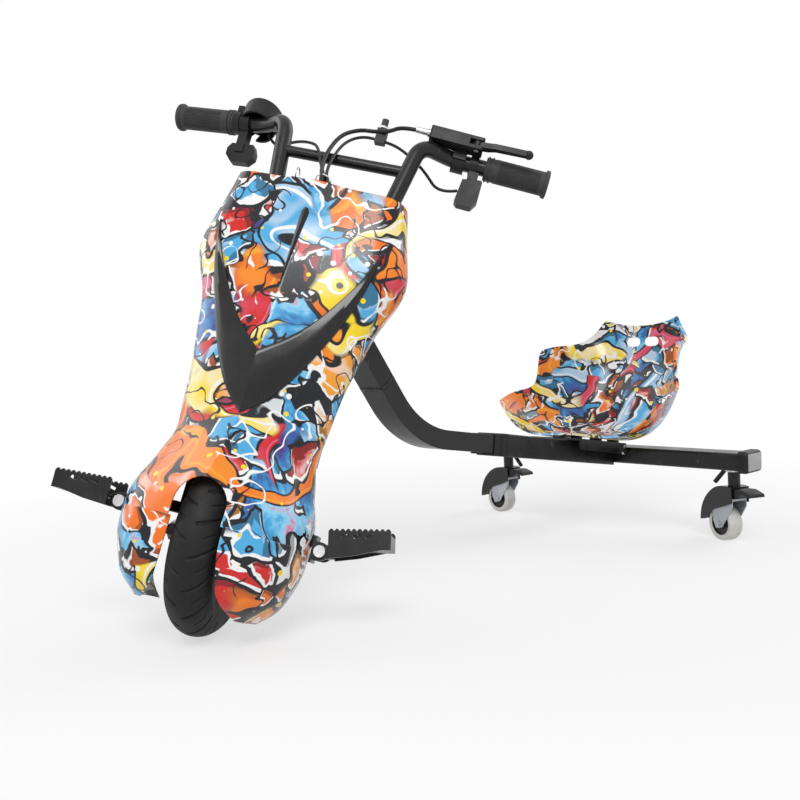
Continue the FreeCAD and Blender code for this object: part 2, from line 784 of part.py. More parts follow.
def bar_leg_line(side):
    """Return the lower and upper points of one leg's centre line."""
    first = Vec(side * LEG_X, LEG_Y_LOW, YOKE_LOW + YOKE_THICK)
    return first, Vec(side * (LEG_X + LEG_SPLAY), CROSS_Y, CROSS_HEIGHT)


def rear_cover_upper():
    """Return the black tub behind the handlebar legs, open at the front, below and under the lid."""
    back = LEG_Y_LOW + TUB_BEHIND
    outer = [(TUB_HALF, TUB_FRONT), (TUB_HALF - TUB_TAPER, back)]
    inner = [(TUB_HALF - TUB_TAPER - SHELL_WALL, back - SHELL_WALL), (TUB_HALF - SHELL_WALL, TUB_FRONT)]
    return level_prism(band_outline(outer, inner), TUB_LOW, LID_LOW)


def rear_cover_lower():
    """Return the black back shell below the beam: side walls inside the fairing and a rounded back."""
    half = REAR_COVER_HALF
    back = REAR_COVER_DEPTH
    wall = SHELL_WALL
    outer = [(half, COVER_FRONT_EDGE), (half, COVER_SHOULDER), (half - COVER_CHAMFER, back)]
    inner = [(half - COVER_CHAMFER - 1, back - wall), (half - wall, COVER_SHOULDER - 1)]
    inner.append((half - wall, COVER_FRONT_EDGE))
    return level_prism(band_outline(outer, inner), REAR_COVER_LOW, REAR_COVER_TOP)


def band_outline(outer, inner):
    """Return the closed (x, y) outline of a wall from the +x half of its outer and inner lines."""
    mirrored = [(-x, y) for x, y in reversed(outer)]
    mirrored += [(-x, y) for x, y in reversed(inner)]
    return outer + mirrored + inner


def fairing_mounts(shell):
    """Return the standoffs that carry the fairing and the lower rear cover on the fork and the yoke."""
    outer = LEG_INNER + LEG_THICK
    starts = [outer, LEG_X + YOKE_OVER]
    rods = []
    for start, (y, z) in zip(starts, STANDOFF_PLACES):
        bar = along_x(start, 140, STANDOFF_RADIUS, y, z).cut(shell)
        rods.append(min(bar.Solids, key=lambda piece: piece.CenterOfMass.x))
    y, z = BACK_STANDOFF
    rods.append(along_x(outer, REAR_COVER_HALF - SHELL_WALL, STANDOFF_RADIUS, y, z))
    return Part.makeCompound(rods + [mirror_x(bar) for bar in rods])


def cover_wire(z):
    """Return the closed outline of the right wheel cover's wall at height z."""
    side = interpolate(COVER_SIDE, z)
    inner = interpolate(COVER_INNER, z)
    front = interpolate(COVER_FRONT, z)
    back = interpolate(COVER_BACK, z)
    wall = SHELL_WALL
    span = side - inner
    outer = [(inner, front), (inner + span * 0.55, front * 0.93), (side - 2, front * 0.5)]
    outer += [(side, 0), (side - 10, back)]
    inside = [(inner, front - wall), (inner + span * 0.5, front * 0.93 - wall)]
    inside += [(side - 2 - wall, front * 0.5 - 1), (side - wall, 0), (side - 10 - wall, back)]
    line = smooth_line([Vec(x, -n, z) for x, n in outer], COVER_POINTS)
    back_line = smooth_line([Vec(x, -n, z) for x, n in inside], COVER_POINTS)
    back_line.reverse()
    return closed(line + back_line)


def wheel_cover():
    """Return the wheel cover on the +x side, a curved wall beside the tyre."""
    return Part.makeLoft([cover_wire(z) for z in COVER_STATIONS], True, True)


def ignition_lock():
    """Return the lock barrel that stands in the lid."""
    return along_z(LID_LOW - LOCK_DEPTH, LID_LOW + LOCK_PROUD, LOCK_RADIUS, LOCK_X, LOCK_Y)


def ignition_key():
    """Return the key: a moulded head and its ring."""
    low = LID_LOW + LOCK_PROUD + FLAT_GAP
    head = block(LOCK_X - KEY_HALF, LOCK_X + KEY_HALF, LOCK_Y - 1.6, LOCK_Y + 1.6, low, low + 10)
    head = head.cut(along_y(LOCK_Y - 5, LOCK_Y + 5, 1.6, LOCK_X, low + 7.3))
    hoop = ring(Vec(-0.6, 0, 0), Vec(0.6, 0, 0), KEY_RING + 0.6, KEY_RING - 0.6)
    hoop.translate(Vec(LOCK_X, LOCK_Y, low + 7.3 + KEY_RING))
    return Part.makeCompound([head, hoop])


# Handlebar and controls

def bar_points(side):
    """Return the corner points of one half of the handlebar, from the yoke to the grip's end."""
    low, cross = bar_leg_line(side)
    rise = (BAR_CORNER_Z - low.z) / (cross.z - low.z)
    corner = low.add(cross.sub(low).multiply(rise))
    inner = Vec(side * GRIP_INNER_X, GRIP_INNER_Y, BAR_CORNER_Z + 4)
    foot = low.sub(cross.sub(low).multiply(0.06))
    return [foot, corner, inner, Vec(side * GRIP_END_X, GRIP_END_Y, GRIP_END_Z)]


def bar_half(side):
    """Return one half of the handlebar, from its foot to the end of its grip."""
    return pipe(bar_points(side), BAR_RADII, BAR_RADIUS)


def handlebar():
    """Return the handlebar: two legs that bend out to the grips, joined by a crossbar."""
    halves = [bar_half(-1), bar_half(1)]
    reach = LEG_X + LEG_SPLAY
    cross = rod(Vec(-reach, CROSS_Y, CROSS_HEIGHT), Vec(reach, CROSS_Y, CROSS_HEIGHT), CROSS_RADIUS)
    bar = cross.fuse(halves)
    return bar.cut(block(-200, 200, -60, 200, YOKE_LOW - 30, YOKE_LOW + YOKE_THICK))


def bar_bend(side):
    """Return the clearance cutter round one leg and its bend, up to where the bar runs straight."""
    bend = pipe(bar_points(side), BAR_RADII, BAR_RADIUS + FLAT_GAP)
    return bend.cut(rod(bar_place(side, BEND_FROM), bar_place(side, -5), BAR_RADIUS + 5))


def bar_direction(side):
    """Return the unit direction of the bar under a grip, pointing outwards."""
    points = bar_points(side)
    return points[-1].sub(points[-2]).normalize()


def bar_place(side, distance):
    """Return the point on the bar's axis at a distance in from its outer end."""
    end = bar_points(side)[-1]
    return end.sub(Vec(bar_direction(side)).multiply(distance))


def grip(side):
    """Return a grip on its bar, with ribs at the inner end and a flange at the outer end."""
    start = bar_place(side, GRIP_LENGTH)
    end = bar_place(side, -GRIP_END_CAP)
    out = bar_direction(side)
    body = rod(start, end, GRIP_RADIUS)
    ribs = []
    for index in range(2):
        place = bar_place(side, GRIP_LENGTH - 2 - 5 * index)
        ribs.append(rod(place, place.add(Vec(out).multiply(2.4)), GRIP_RADIUS + 1.2))
    flange = rod(bar_place(side, 2.5), end, GRIP_FLANGE)
    body = body.fuse(ribs + [flange])
    return body.cut(rod(start.sub(out), bar_place(side, 0.0), BAR_RADIUS))


def control_frame(distance):
    """Return a placement on the +x bar: x outwards along the bar, y towards the rider, z up."""
    out = bar_direction(1)
    back = Vec(0, 0, 1).cross(out)
    up = out.cross(back)
    return FreeCAD.Placement(bar_place(1, distance), FreeCAD.Rotation(out, back, up, "XZY"))


def on_bar(side, distance, shape):
    """Place a shape that is drawn about the bar's axis at a place on the bar."""
    placed = shape.copy()
    placed.Placement = control_frame(distance).multiply(placed.Placement)
    return placed if side > 0 else mirror_x(placed)


def brake_perch():
    """Return the brake lever's clamp and the forked pivot housing in front of the bar."""
    band = ring(Vec(-16, 0, 0), Vec(0, 0, 0), 14.5, BAR_RADIUS)
    x0 = LEVER_PIVOT_X
    y0 = LEVER_PIVOT_Y
    low = LEVER_LIFT - PERCH_HALF
    top = LEVER_LIFT + PERCH_HALF
    housing = block(x0 - PERCH_LENGTH, x0 + PERCH_HALF, y0 - PERCH_HALF, -BAR_RADIUS, low, top)
    housing = housing.makeFillet(3, [e for e in housing.Edges if abs(e.tangentAt(e.FirstParameter).z) > 0.9])
    gap = LEVER_HALF + FLAT_GAP
    housing = housing.cut(block(x0 - 10, x0 + 30, y0 - 20, y0 + 9, LEVER_LIFT - gap, LEVER_LIFT + gap))
    housing = housing.cut(along_x(1, PERCH_HALF + x0 + 1, SWITCH_BAND + FLAT_GAP))
    neck = block(-16, 0, -17, -6, -4, LEVER_LIFT + 2).cut(along_x(-20, 20, BAR_RADIUS))
    shell = band.fuse([housing, neck])
    shell = shell.cut(along_z(low - 1, top + 1, LEVER_BOLT, x0, y0))
    shell = shell.cut(along_x(x0 - PERCH_LENGTH - 1, x0 - 9, CABLE_THICK, y0, LEVER_LIFT))
    return largest(on_bar(1, LEVER_AT, shell).cut([bar_bend(1), bar_half(1)]))


def brake_lever():
    """Return the brake lever: a hub on the pivot and a dog-leg blade that ends in a ball."""
    x0 = LEVER_PIVOT_X
    y0 = LEVER_PIVOT_Y
    low = LEVER_LIFT - LEVER_HALF
    top = LEVER_LIFT + LEVER_HALF
    hub = along_z(low, top, LEVER_HUB, x0, y0)
    blade = [(x0 - 4, y0 - 5), (x0 + 12, y0 - 6), (x0 + 22, y0 - 9), (x0 + LEVER_REACH, y0 - 12),
             (x0 + LEVER_REACH, y0 - 5), (x0 + 24, y0 - 1), (x0 + 14, y0 + 4), (x0 + 2, y0 + 6)]
    ball = Part.makeSphere(LEVER_BALL, Vec(x0 + LEVER_REACH + 2, y0 - 8.5, LEVER_LIFT))
    lever = hub.fuse([level_prism(blade, low, top), ball])
    lever = lever.cut(along_z(low - 1, top + 1, LEVER_BOLT + RUNNING_GAP, x0, y0))
    return on_bar(1, LEVER_AT, lever)


def brake_fittings():
    """Return the lever's pivot bolt and the cable's barrel adjuster with its lock ring."""
    x0 = LEVER_PIVOT_X
    y0 = LEVER_PIVOT_Y
    top = LEVER_LIFT + PERCH_HALF
    bolt = along_z(LEVER_LIFT - PERCH_HALF - 1, top, LEVER_BOLT, x0, y0)
    bolt = bolt.fuse(along_z(top, top + 2, 4.6, x0, y0))
    face = x0 - PERCH_LENGTH
    barrel = ring(Vec(face - 18, y0, LEVER_LIFT), Vec(face - 3, y0, LEVER_LIFT), 4.0, CABLE_THICK)
    nut = ring(Vec(face - 3, y0, LEVER_LIFT), Vec(face, y0, LEVER_LIFT), 5.2, CABLE_THICK)
    return Part.makeCompound([on_bar(1, LEVER_AT, part) for part in (bolt, barrel.fuse(nut))])


def switch_housing():
    """Return the switch plate that hangs below the bar, with its clamp ring."""
    band = ring(Vec(-5, 0, 0), Vec(5, 0, 0), SWITCH_BAND, BAR_RADIUS)
    neck = block(-4, 9, -7, 7, -22, -11).cut(along_x(-20, 20, BAR_RADIUS))
    body = prism([(-9, -24), (14, -20), (16, -22), (16, -48), (10, -58), (-8, -58), (-12, -54)], -7, 7)
    body = body.cut(along_y(3, 10, HORN_RADIUS + HORN_CLEAR, 2, HORN_Z))
    body = body.cut(block(-5, 9, 2.5, 10, -53, -41.5))
    return on_bar(1, LEVER_AT - SWITCH_GAP, band.fuse([neck, body]))


def horn_button():
    """Return the horn's push button on the rider's side of the switch plate."""
    return on_bar(1, LEVER_AT - SWITCH_GAP, along_y(5.2, 10.2, HORN_RADIUS, 2, HORN_Z))


def light_rocker():
    """Return the light switch's rocker on the rider's side of the switch plate."""
    outline = [(3.4, -50.6), (9.6, -51.8), (8.4, -47.2), (9.6, -42.7), (3.4, -43.9)]
    return on_bar(1, LEVER_AT - SWITCH_GAP, side_prism(outline, -4.4, 8.4))


def hood_place(rise):
    """Return the point on the display hood's axis at a distance above its top centre."""
    return Vec(*HOOD_TOP_CENTRE).add(Vec(*HOOD_TILT).multiply(rise))


def throttle_pod():
    """Return the throttle's clamp and the hollow display hood above the bar."""
    tilt = Vec(*HOOD_TILT)
    band = ring(Vec(-14, 0, 0), Vec(POD_BAND_END, 0, 0), 15.0, BAR_RADIUS)
    hood = Part.makeCone(HOOD_RADIUS - HOOD_TAPER, HOOD_RADIUS, HOOD_HEIGHT, hood_place(-HOOD_HEIGHT), tilt)
    inner = HOOD_RADIUS - HOOD_SHELL
    deep = HOOD_HEIGHT - 5
    hollow = Part.makeCone(inner - HOOD_TAPER, inner, deep, hood_place(-HOOD_HEIGHT - 0.5), tilt)
    seat = rod(hood_place(-LENS_THICK), hood_place(1), LENS_RADIUS)
    bridge = block(-14, -6, -10, 12, 6, 20)
    shell = hood.cut(hollow).cut(seat)
    shell = shell.cut([along_x(-28, -14, PADDLE_COLLAR + FLAT_GAP), block(-28, -14, -30, 30, -60, 0)])
    shell = shell.fuse([bridge, band]).cut(along_x(-80, 20, BAR_RADIUS))
    return largest(on_bar(-1, POD_AT, shell).cut([bar_bend(-1), bar_half(-1)]))


def display_lens():
    """Return the display's round lens in the top of the hood."""
    return on_bar(-1, POD_AT, rod(hood_place(-LENS_THICK), hood_place(LENS_PROUD), LENS_RADIUS))


def throttle_paddle():
    """Return the thumb paddle: a collar that turns on the bar, a web and a rounded paddle below."""
    start = Vec(-27, 0, 0)
    end = Vec(-14 - FLAT_GAP, 0, 0)
    collar = ring(start, end, PADDLE_COLLAR, BAR_RADIUS + RUNNING_GAP)
    web = block(start.x + 1, end.x, -5, 9, -42, -11.5)
    outline = [(-42, -40), (-38, -30), (-8, -30), (-3, -37), (-3, -46), (-12, -56), (-34, -56), (-42, -48)]
    return on_bar(-1, POD_AT, collar.fuse([web, prism(outline, -3, 9)]))


# Foot pegs

def peg_axis_rod(y0, y1, radius):
    """Return a cylinder on the peg's pivot line."""
    return along_y(y0, y1, radius, PEG_PIVOT_X, PEG_PIVOT_Z)


def peg_bracket():
    """Return the peg carrier of the +x side: a plate on the fork leg, an arm and a clevis."""
    start = LEG_INNER + LEG_THICK
    plate = block(start, start + BRACKET_PLATE, -14, 12, ARM_LOW, ARM_LOW + 40)
    back = PEG_PIVOT_X - TONGUE_RADIUS
    front = PEG_PIVOT_Y - ARM_HALF - EAR_THICK
    rear = PEG_PIVOT_Y + ARM_HALF + EAR_THICK
    web = block(back - EAR_THICK + WEB_OUT, back - 0.3, front, rear, PEG_PIVOT_Z - 13, PEG_PIVOT_Z + 15)
    ears = []
    for y in (front, rear - EAR_THICK):
        low = PEG_PIVOT_Z - EAR_RADIUS
        high = PEG_PIVOT_Z + EAR_RADIUS
        ears.append(block(PEG_PIVOT_X - EAR_IN, PEG_PIVOT_X, y, y + EAR_THICK, low, high))
        ears.append(peg_axis_rod(y, y + EAR_THICK, EAR_RADIUS))
    body = plate.fuse([arm_block(0.0), web] + ears)
    return body.cut(peg_axis_rod(front - 5, rear + 5, PEG_BOLT)).removeSplitter()


def peg_bolt():
    """Return the pivot bolt of the +x peg with its round head and nut."""
    front = PEG_PIVOT_Y - ARM_HALF - EAR_THICK
    back = PEG_PIVOT_Y + ARM_HALF + EAR_THICK
    shaft = peg_axis_rod(front, back + 7, PEG_BOLT)
    head = peg_axis_rod(front - 4.5, front, 6.3)
    nut = hexagon(Vec(PEG_PIVOT_X, back, PEG_PIVOT_Z), Vec(0, 1, 0), 13, 6)
    return shaft.fuse([head, nut])


def peg(name):
    """Return a folding peg on the +x side: a channel with toothed edges, slots and a hinge tongue."""
    y0 = PEG_PIVOT_Y - PEG_DEPTH / 2
    y1 = PEG_PIVOT_Y + PEG_DEPTH / 2
    low = PEG_TOP - PEG_FLOOR_DROP
    outline = toothed_outline()
    walls = prism(outline, y0, y0 + PEG_WALL).fuse(prism(outline, y1 - PEG_WALL, y1))
    floor = block(PEG_START, PEG_END, y0, y1, low, low + PEG_WALL)
    end = block(PEG_END - PEG_WALL, PEG_END, y0, y1, low, PEG_TOP - 6)
    slots = []
    for index in range(3):
        x = PEG_START + PEG_SLOT_START + PEG_SLOT_PITCH * index
        slots.append(slot_cutter(x, PEG_TOP - 7.5, y0, y1))
    tongue_low = PEG_PIVOT_Y - TONGUE_HALF
    tongue_high = PEG_PIVOT_Y + TONGUE_HALF
    bottom = PEG_PIVOT_Z - TONGUE_RADIUS
    top = PEG_PIVOT_Z + TONGUE_RADIUS
    tongue = block(PEG_PIVOT_X, PEG_START + 3, tongue_low, tongue_high, bottom, top)
    hub = peg_axis_rod(tongue_low, tongue_high, TONGUE_RADIUS)
    body = walls.fuse([floor, end, tongue, hub]).cut(Part.makeCompound(slots))
    body = body.cut(peg_axis_rod(y0, y1, PEG_BOLT + RUNNING_GAP)).removeSplitter()
    body.rotate(Vec(PEG_PIVOT_X, 0, PEG_PIVOT_Z), Vec(0, -1, 0), PEG_TILT[name])
    return body


def toothed_outline():
    """Return the peg wall's (x, z) outline with teeth along its top."""
    pitch = (PEG_END - PEG_START) / PEG_TEETH
    points = [(PEG_END, PEG_TOP - 19), (PEG_START + 26, PEG_TOP - 27), (PEG_START, PEG_TOP - 30)]
    for index in range(PEG_TEETH):
        x = PEG_START + pitch * index
        points.append((x, PEG_TOP - PEG_TOOTH))
        points.append((x + pitch * 0.35, PEG_TOP))
        points.append((x + pitch * 0.65, PEG_TOP))
    points.append((PEG_END, PEG_TOP - PEG_TOOTH))
    return points


def slot_cutter(x, z, y0, y1):
    """Return one slanted slot through both walls of a peg."""
    cut = block(-4, 4, y0 - 1, y1 + 1, -1.6, 1.6)
    cut.rotate(Vec(0, 0, 0), Vec(0, 1, 0), -PEG_SLOT_TILT)
    cut.translate(Vec(x, 0, z))
    return cut


# Cables

def cable_routes():
    """Return the cables of the handlebar as (corner points, radius), each held at both ends."""
    x = CABLE_ENTRY_X
    y = CABLE_ENTRY_Y
    brake = [adjuster_mouth(4), adjuster_mouth(34), Vec(38, 72, 541), Vec(20, 77, 541), Vec(2, 75, 539),
             Vec(-14, 57, 519),
             Vec(-19, 38, 486), Vec(-15, 18, 452), Vec(x - 7, y + 3, 426), Vec(x - 6, y, LID_LOW)]
    switch = [switch_mouth(), Vec(116, 92, 482), Vec(97, 76, 498), Vec(78, 70, 510), Vec(54, 74, 525),
              Vec(30, 80, 532), Vec(8, 75, 531), Vec(-7, 58, 511), Vec(-10, 36, 478), Vec(-7, 14, 444),
              Vec(x + 2, y + 3, 422), Vec(x + 2, y, LID_LOW)]
    throttle = [pod_mouth(), Vec(-111, 99, 508), Vec(-93, 89, 507), Vec(-74, 78, 509), Vec(-53, 62, 503),
                Vec(-34, 42, 490), Vec(-19, 24, 458), Vec(x - 4, y + 10, 428), Vec(x - 2, y + 7, LID_LOW)]
    return [(brake, CABLE_THICK), (switch, CABLE_THIN), (throttle, CABLE_THIN)]


def adjuster_mouth(out):
    """Return the point on the barrel adjuster's axis at a distance out of the perch."""
    face = LEVER_PIVOT_X - PERCH_LENGTH
    return control_frame(LEVER_AT).multVec(Vec(face - out, LEVER_PIVOT_Y, LEVER_LIFT))


def switch_mouth():
    """Return the side of the switch plate where its cable leaves."""
    return control_frame(LEVER_AT - SWITCH_GAP).multVec(Vec(-11.4, 0, -38))


def pod_mouth():
    """Return the place inside the display hood's skirt where the throttle cable leaves."""
    point = control_frame(POD_AT).multVec(Vec(-48.9, 8.4, -7.4))
    return Vec(-point.x, point.y, point.z)


def control_cables():
    """Return the brake, switch and throttle cables."""
    tubes = []
    for points, radius in cable_routes():
        radii = gentle_radii(points)
        print("cable radii", [round(r) for r in radii])
        tubes.append(pipe(points, radii, radius, CABLE_SIDES))
    return Part.makeCompound(tubes)


# Main beam, sleeve and crossbar

def beam_direction():
    """Return the unit direction of the beam's level part, towards the rear."""
    fall = math.radians(BEAM_FALL)
    return Vec(0, math.cos(fall), -math.sin(fall))


def beam_path():
    """Return the beam's centre line: from the head tube down to the bend and back into the sleeve."""
    bend = Vec(0, BEAM_BEND_Y, BEAM_BEND_Z)
    rise = math.radians(BEAM_RISE)
    up = Vec(0, -math.cos(rise), math.sin(rise))
    length = (BEAM_BEND_Y - head_y(BEAM_BEND_Z, up)) / math.cos(rise)
    top = bend.add(Vec(up).multiply(length - 4))
    mouth = sleeve_mouth()
    tail = mouth.add(beam_direction().multiply(BEAM_TAIL))
    return [top, bend, tail]


def head_y(start_z, up):
    """Return y where the beam's rising line meets the steering axis."""
    rake = math.radians(RAKE)
    axis = Vec(0, math.sin(rake), math.cos(rake))
    base = Vec(0, 0, axle_height())
    start = Vec(0, BEAM_BEND_Y, start_z)
    gap = start.sub(base)
    cross = axis.y * up.z - axis.z * up.y
    travel = (gap.z * up.y - gap.y * up.z) / -cross
    return base.y + axis.y * travel


def sleeve_mouth():
    """Return the centre of the sleeve's front mouth."""
    end = Vec(0, WHEELBASE - CROSSBAR_DEPTH / 2, CROSSBAR_LOW + CROSSBAR_HEIGHT / 2)
    return end.sub(beam_direction().multiply(SLEEVE_LENGTH))


def rectangle(centre, direction, width, height):
    """Return a rectangular wire, width across x, square to the direction."""
    side = Vec(width / 2, 0, 0)
    lift = Vec(1, 0, 0).cross(direction).normalize().multiply(height / 2)
    high = centre.add(lift)
    low = centre.sub(lift)
    corners = [high.add(side), high.sub(side), low.sub(side), low.add(side)]
    return Part.makePolygon(corners + corners[:1])


def main_beam():
    """Return the bent rectangular tube, coped to the head tube at its top end."""
    points = beam_path()
    path = round_path(points, [BEAM_BEND_RADIUS])
    start = points[1].sub(points[0]).normalize()
    outer = path.makePipeShell([rectangle(points[0], start, BEAM_WIDTH, BEAM_HEIGHT)], True, False, 2)
    inside = rectangle(points[0], start, BEAM_WIDTH - 2 * BEAM_WALL, BEAM_HEIGHT - 2 * BEAM_WALL)
    inner = path.makePipeShell([inside], True, False, 2)
    beam = outer.cut(inner)
    cope = steered(rod(Vec(0, 0, HEAD_LOW - 60), Vec(0, 0, HEAD_LOW + HEAD_LENGTH + 60), HEAD_OUTER))
    return beam.cut(cope)


def beam_box(start, end, width, height):
    """Return a rectangular bar along the level beam, between two distances from the sleeve's mouth."""
    way = beam_direction()
    first = sleeve_mouth().add(Vec(way).multiply(start))
    return Part.Face(rectangle(first, way, width, height)).extrude(Vec(way).multiply(end - start))


def sleeve_width():
    """Return the sleeve's outer width."""
    return BEAM_WIDTH + 2 * (SLEEVE_CLEAR + SLEEVE_WALL)


def sleeve_height():
    """Return the sleeve's outer height."""
    return BEAM_HEIGHT + 2 * (SLEEVE_CLEAR + SLEEVE_WALL)


def beam_sleeve():
    """Return the sleeve that receives the beam, cut flush against the crossbar."""
    wide = sleeve_width()
    high = sleeve_height()
    outer = beam_box(0, SLEEVE_LENGTH + 12, wide, high)
    bore = beam_box(-1, SLEEVE_LENGTH - SLEEVE_END_WALL, wide - 2 * SLEEVE_WALL, high - 2 * SLEEVE_WALL)
    face_y = WHEELBASE - CROSSBAR_DEPTH / 2
    sleeve = outer.cut(block(-60, 60, face_y, face_y + 80, 0, 300))
    return sleeve.cut(bore)


def sleeve_bush():
    """Return the plastic collar round the beam at the sleeve's mouth."""
    wide = BEAM_WIDTH + 2 * SLEEVE_CLEAR
    high = BEAM_HEIGHT + 2 * SLEEVE_CLEAR
    collar = beam_box(-BUSH_LIP, 0, wide + 2 * BUSH_THICK, high + 2 * BUSH_THICK)
    thin = 2 * BUSH_THICK - 3
    step = beam_box(-BUSH_LIP - BUSH_STEP, -BUSH_LIP, wide + thin, high + thin)
    bore = beam_box(-BUSH_LIP - BUSH_STEP - 1, 1, wide, high)
    return collar.fuse(step).cut(bore)


def rear_crossbar():
    """Return the rear crossbar tube."""
    y0 = WHEELBASE - CROSSBAR_DEPTH / 2
    y1 = WHEELBASE + CROSSBAR_DEPTH / 2
    top = CROSSBAR_LOW + CROSSBAR_HEIGHT
    wall = CROSSBAR_WALL
    outer = block(-CROSSBAR_HALF, CROSSBAR_HALF, y0, y1, CROSSBAR_LOW, top)
    outer = outer.makeFillet(4, [e for e in outer.Edges if abs(e.tangentAt(e.FirstParameter).x) > 0.9])
    end = CROSSBAR_HALF + 1
    tube = outer.cut(block(-end, end, y0 + wall, y1 - wall, CROSSBAR_LOW + wall, top - wall))
    for side in (-1, 1):
        x = side * CASTER_TRACK / 2
        tube = tube.cut(along_z(CROSSBAR_LOW - 1, CROSSBAR_LOW + wall + 1, CASTER_NECK, x, WHEELBASE))
    return tube


def end_cap():
    """Return the right-hand plastic cap, rounded at its outer edge, with its spigot."""
    y0 = WHEELBASE - CROSSBAR_DEPTH / 2
    y1 = WHEELBASE + CROSSBAR_DEPTH / 2
    top = CROSSBAR_LOW + CROSSBAR_HEIGHT
    over = CAP_OVER
    end = CROSSBAR_HALF
    head = block(end, end + CAP_THICK, y0 - over, y1 + over, CROSSBAR_LOW - over, top + over)
    head = head.makeFillet(6, [e for e in head.Edges if e.CenterOfMass.x > end + 1])
    wall = CROSSBAR_WALL + 0.1
    plug = block(end - CAP_SPIGOT, end, y0 + wall, y1 - wall, CROSSBAR_LOW + wall, top - wall)
    return head.fuse(plug)


def caster_socket(x):
    """Return one caster socket: a flange under the crossbar and a bored tube inside it."""
    top = CROSSBAR_LOW + CROSSBAR_HEIGHT - CROSSBAR_WALL
    low = CROSSBAR_LOW - SOCKET_FLANGE
    tube = along_z(CROSSBAR_LOW, top, CASTER_NECK, x, WHEELBASE)
    flange = along_z(low, CROSSBAR_LOW, SOCKET_RADIUS, x, WHEELBASE)
    bore = along_z(low - 1, top, STEM_RADIUS + RUNNING_GAP, x, WHEELBASE)
    return tube.fuse(flange).cut(bore)


def seat_carrier():
    """Return the folded plate that carries the seat, on the sleeve and the crossbar's front."""
    way = beam_direction()
    high = sleeve_height()
    lift = Vec(1, 0, 0).cross(way).normalize()
    start = sleeve_mouth().add(Vec(way).multiply((CARRIER_FRONT - sleeve_mouth().y) / way.y))
    length = (WHEELBASE - CROSSBAR_DEPTH / 2 - CARRIER_FRONT) / way.y
    top_low = start.add(Vec(lift).multiply(high / 2 + PLATE / 2))
    plate = Part.Face(rectangle(top_low, way, 2 * CARRIER_HALF, PLATE)).extrude(Vec(way).multiply(length))
    lips = []
    for side in (-1, 1):
        place = start.add(Vec(side * (CARRIER_HALF - PLATE / 2), 0, 0))
        place = place.add(Vec(lift).multiply(high / 2 + PLATE - CARRIER_LIP / 2))
        lips.append(Part.Face(rectangle(place, way, PLATE, CARRIER_LIP)).extrude(Vec(way).multiply(length)))
    face_y = WHEELBASE - CROSSBAR_DEPTH / 2
    behind = block(-CROSSBAR_HALF, CROSSBAR_HALF, face_y, face_y + 50, 0, 300)
    return plate.fuse(lips).removeSplitter().cut([behind] + seat_bolt_holes())


# Bucket seat

def seat_section(angle, offset):
    """Return the seat's section points in the radial plane at an angle round the pivot line."""
    reach = interpolate(SEAT_REACH, angle) + offset
    floor = interpolate(SEAT_FLOOR, angle)
    half = interpolate(SEAT_HALF, angle)
    rise = interpolate(SEAT_RISE, angle)
    haunch = ((floor + half) / 2, reach - rise * 0.32)
    return [(0.0, reach), (floor, reach - 1), haunch, (half + offset, reach - rise)]


def seat_point(angle, x, radius):
    """Return the point of the seat at a distance from the pivot line."""
    turn = math.radians(angle)
    return Vec(x, SEAT_PIVOT_Y + radius * math.cos(turn), SEAT_PIVOT_Z + radius * math.sin(turn))


def seat_wire(angle):
    """Return the closed outline of the seat's wall in one radial plane."""
    rims = []
    for offset in (0.0, -SEAT_WALL):
        half = seat_section(angle, offset)
        line = [(-x, r) for x, r in reversed(half[1:])] + half
        rims.append(smooth_line([seat_point(angle, x, r) for x, r in line], SEAT_POINTS))
    rims[1].reverse()
    return closed(rims[0] + rims[1])


def seat_shell():
    """Return the bucket seat: a curved shell swept round the pivot line, with two belt slots."""
    shell = Part.makeLoft([seat_wire(a) for a in SEAT_ANGLES], True, True)
    front = SEAT_PIVOT_Y + 60
    back = SEAT_PIVOT_Y + 260
    for side in (-1, 1):
        x0 = side * SLOT_CENTRE - SLOT_WIDTH / 2
        shell = shell.cut(block(x0, x0 + SLOT_WIDTH, front, back, SLOT_LOW, SLOT_LOW + SLOT_HEIGHT))
    shell = shell.cut(along_y(front, back, DIP_RADIUS, 0, SEAT_DIP + DIP_RADIUS))
    return shell.cut(seat_bolt_holes())


def seat_bolt_places():
    """Return the centres of the four seat bolts, on the carrier's upper face."""
    places = []
    for side in (-1, 1):
        for y in (SEAT_PIVOT_Y - SEAT_BOLT_Y, SEAT_PIVOT_Y + SEAT_BOLT_Y):
            places.append((side * SEAT_BOLT_X, y, carrier_height(y)))
    return places


def seat_bolt_holes():
    """Return the cutters for the four seat bolts, through the carrier and the seat."""
    return [along_z(z - 30, z + 30, SEAT_BOLT, x, y) for x, y, z in seat_bolt_places()]


def carrier_height(y):
    """Return the height of the seat carrier's upper face at a distance along y."""
    way = beam_direction()
    mouth = sleeve_mouth()
    centre = mouth.z + (y - mouth.y) * way.z / way.y
    return centre + (sleeve_height() / 2 + PLATE) / way.y


def seat_pads(shell, carrier):
    """Return the four spacers between the carrier and the seat, shaped to both."""
    pads = []
    for x, y, z in seat_bolt_places():
        pad = ring(Vec(x, y, z - 1.5), Vec(x, y, z + SEAT_PAD), SEAT_PAD_RADIUS, SEAT_BOLT)
        pads.append(pad.cut([shell, carrier]).Solids[0])
    return Part.makeCompound(pads)


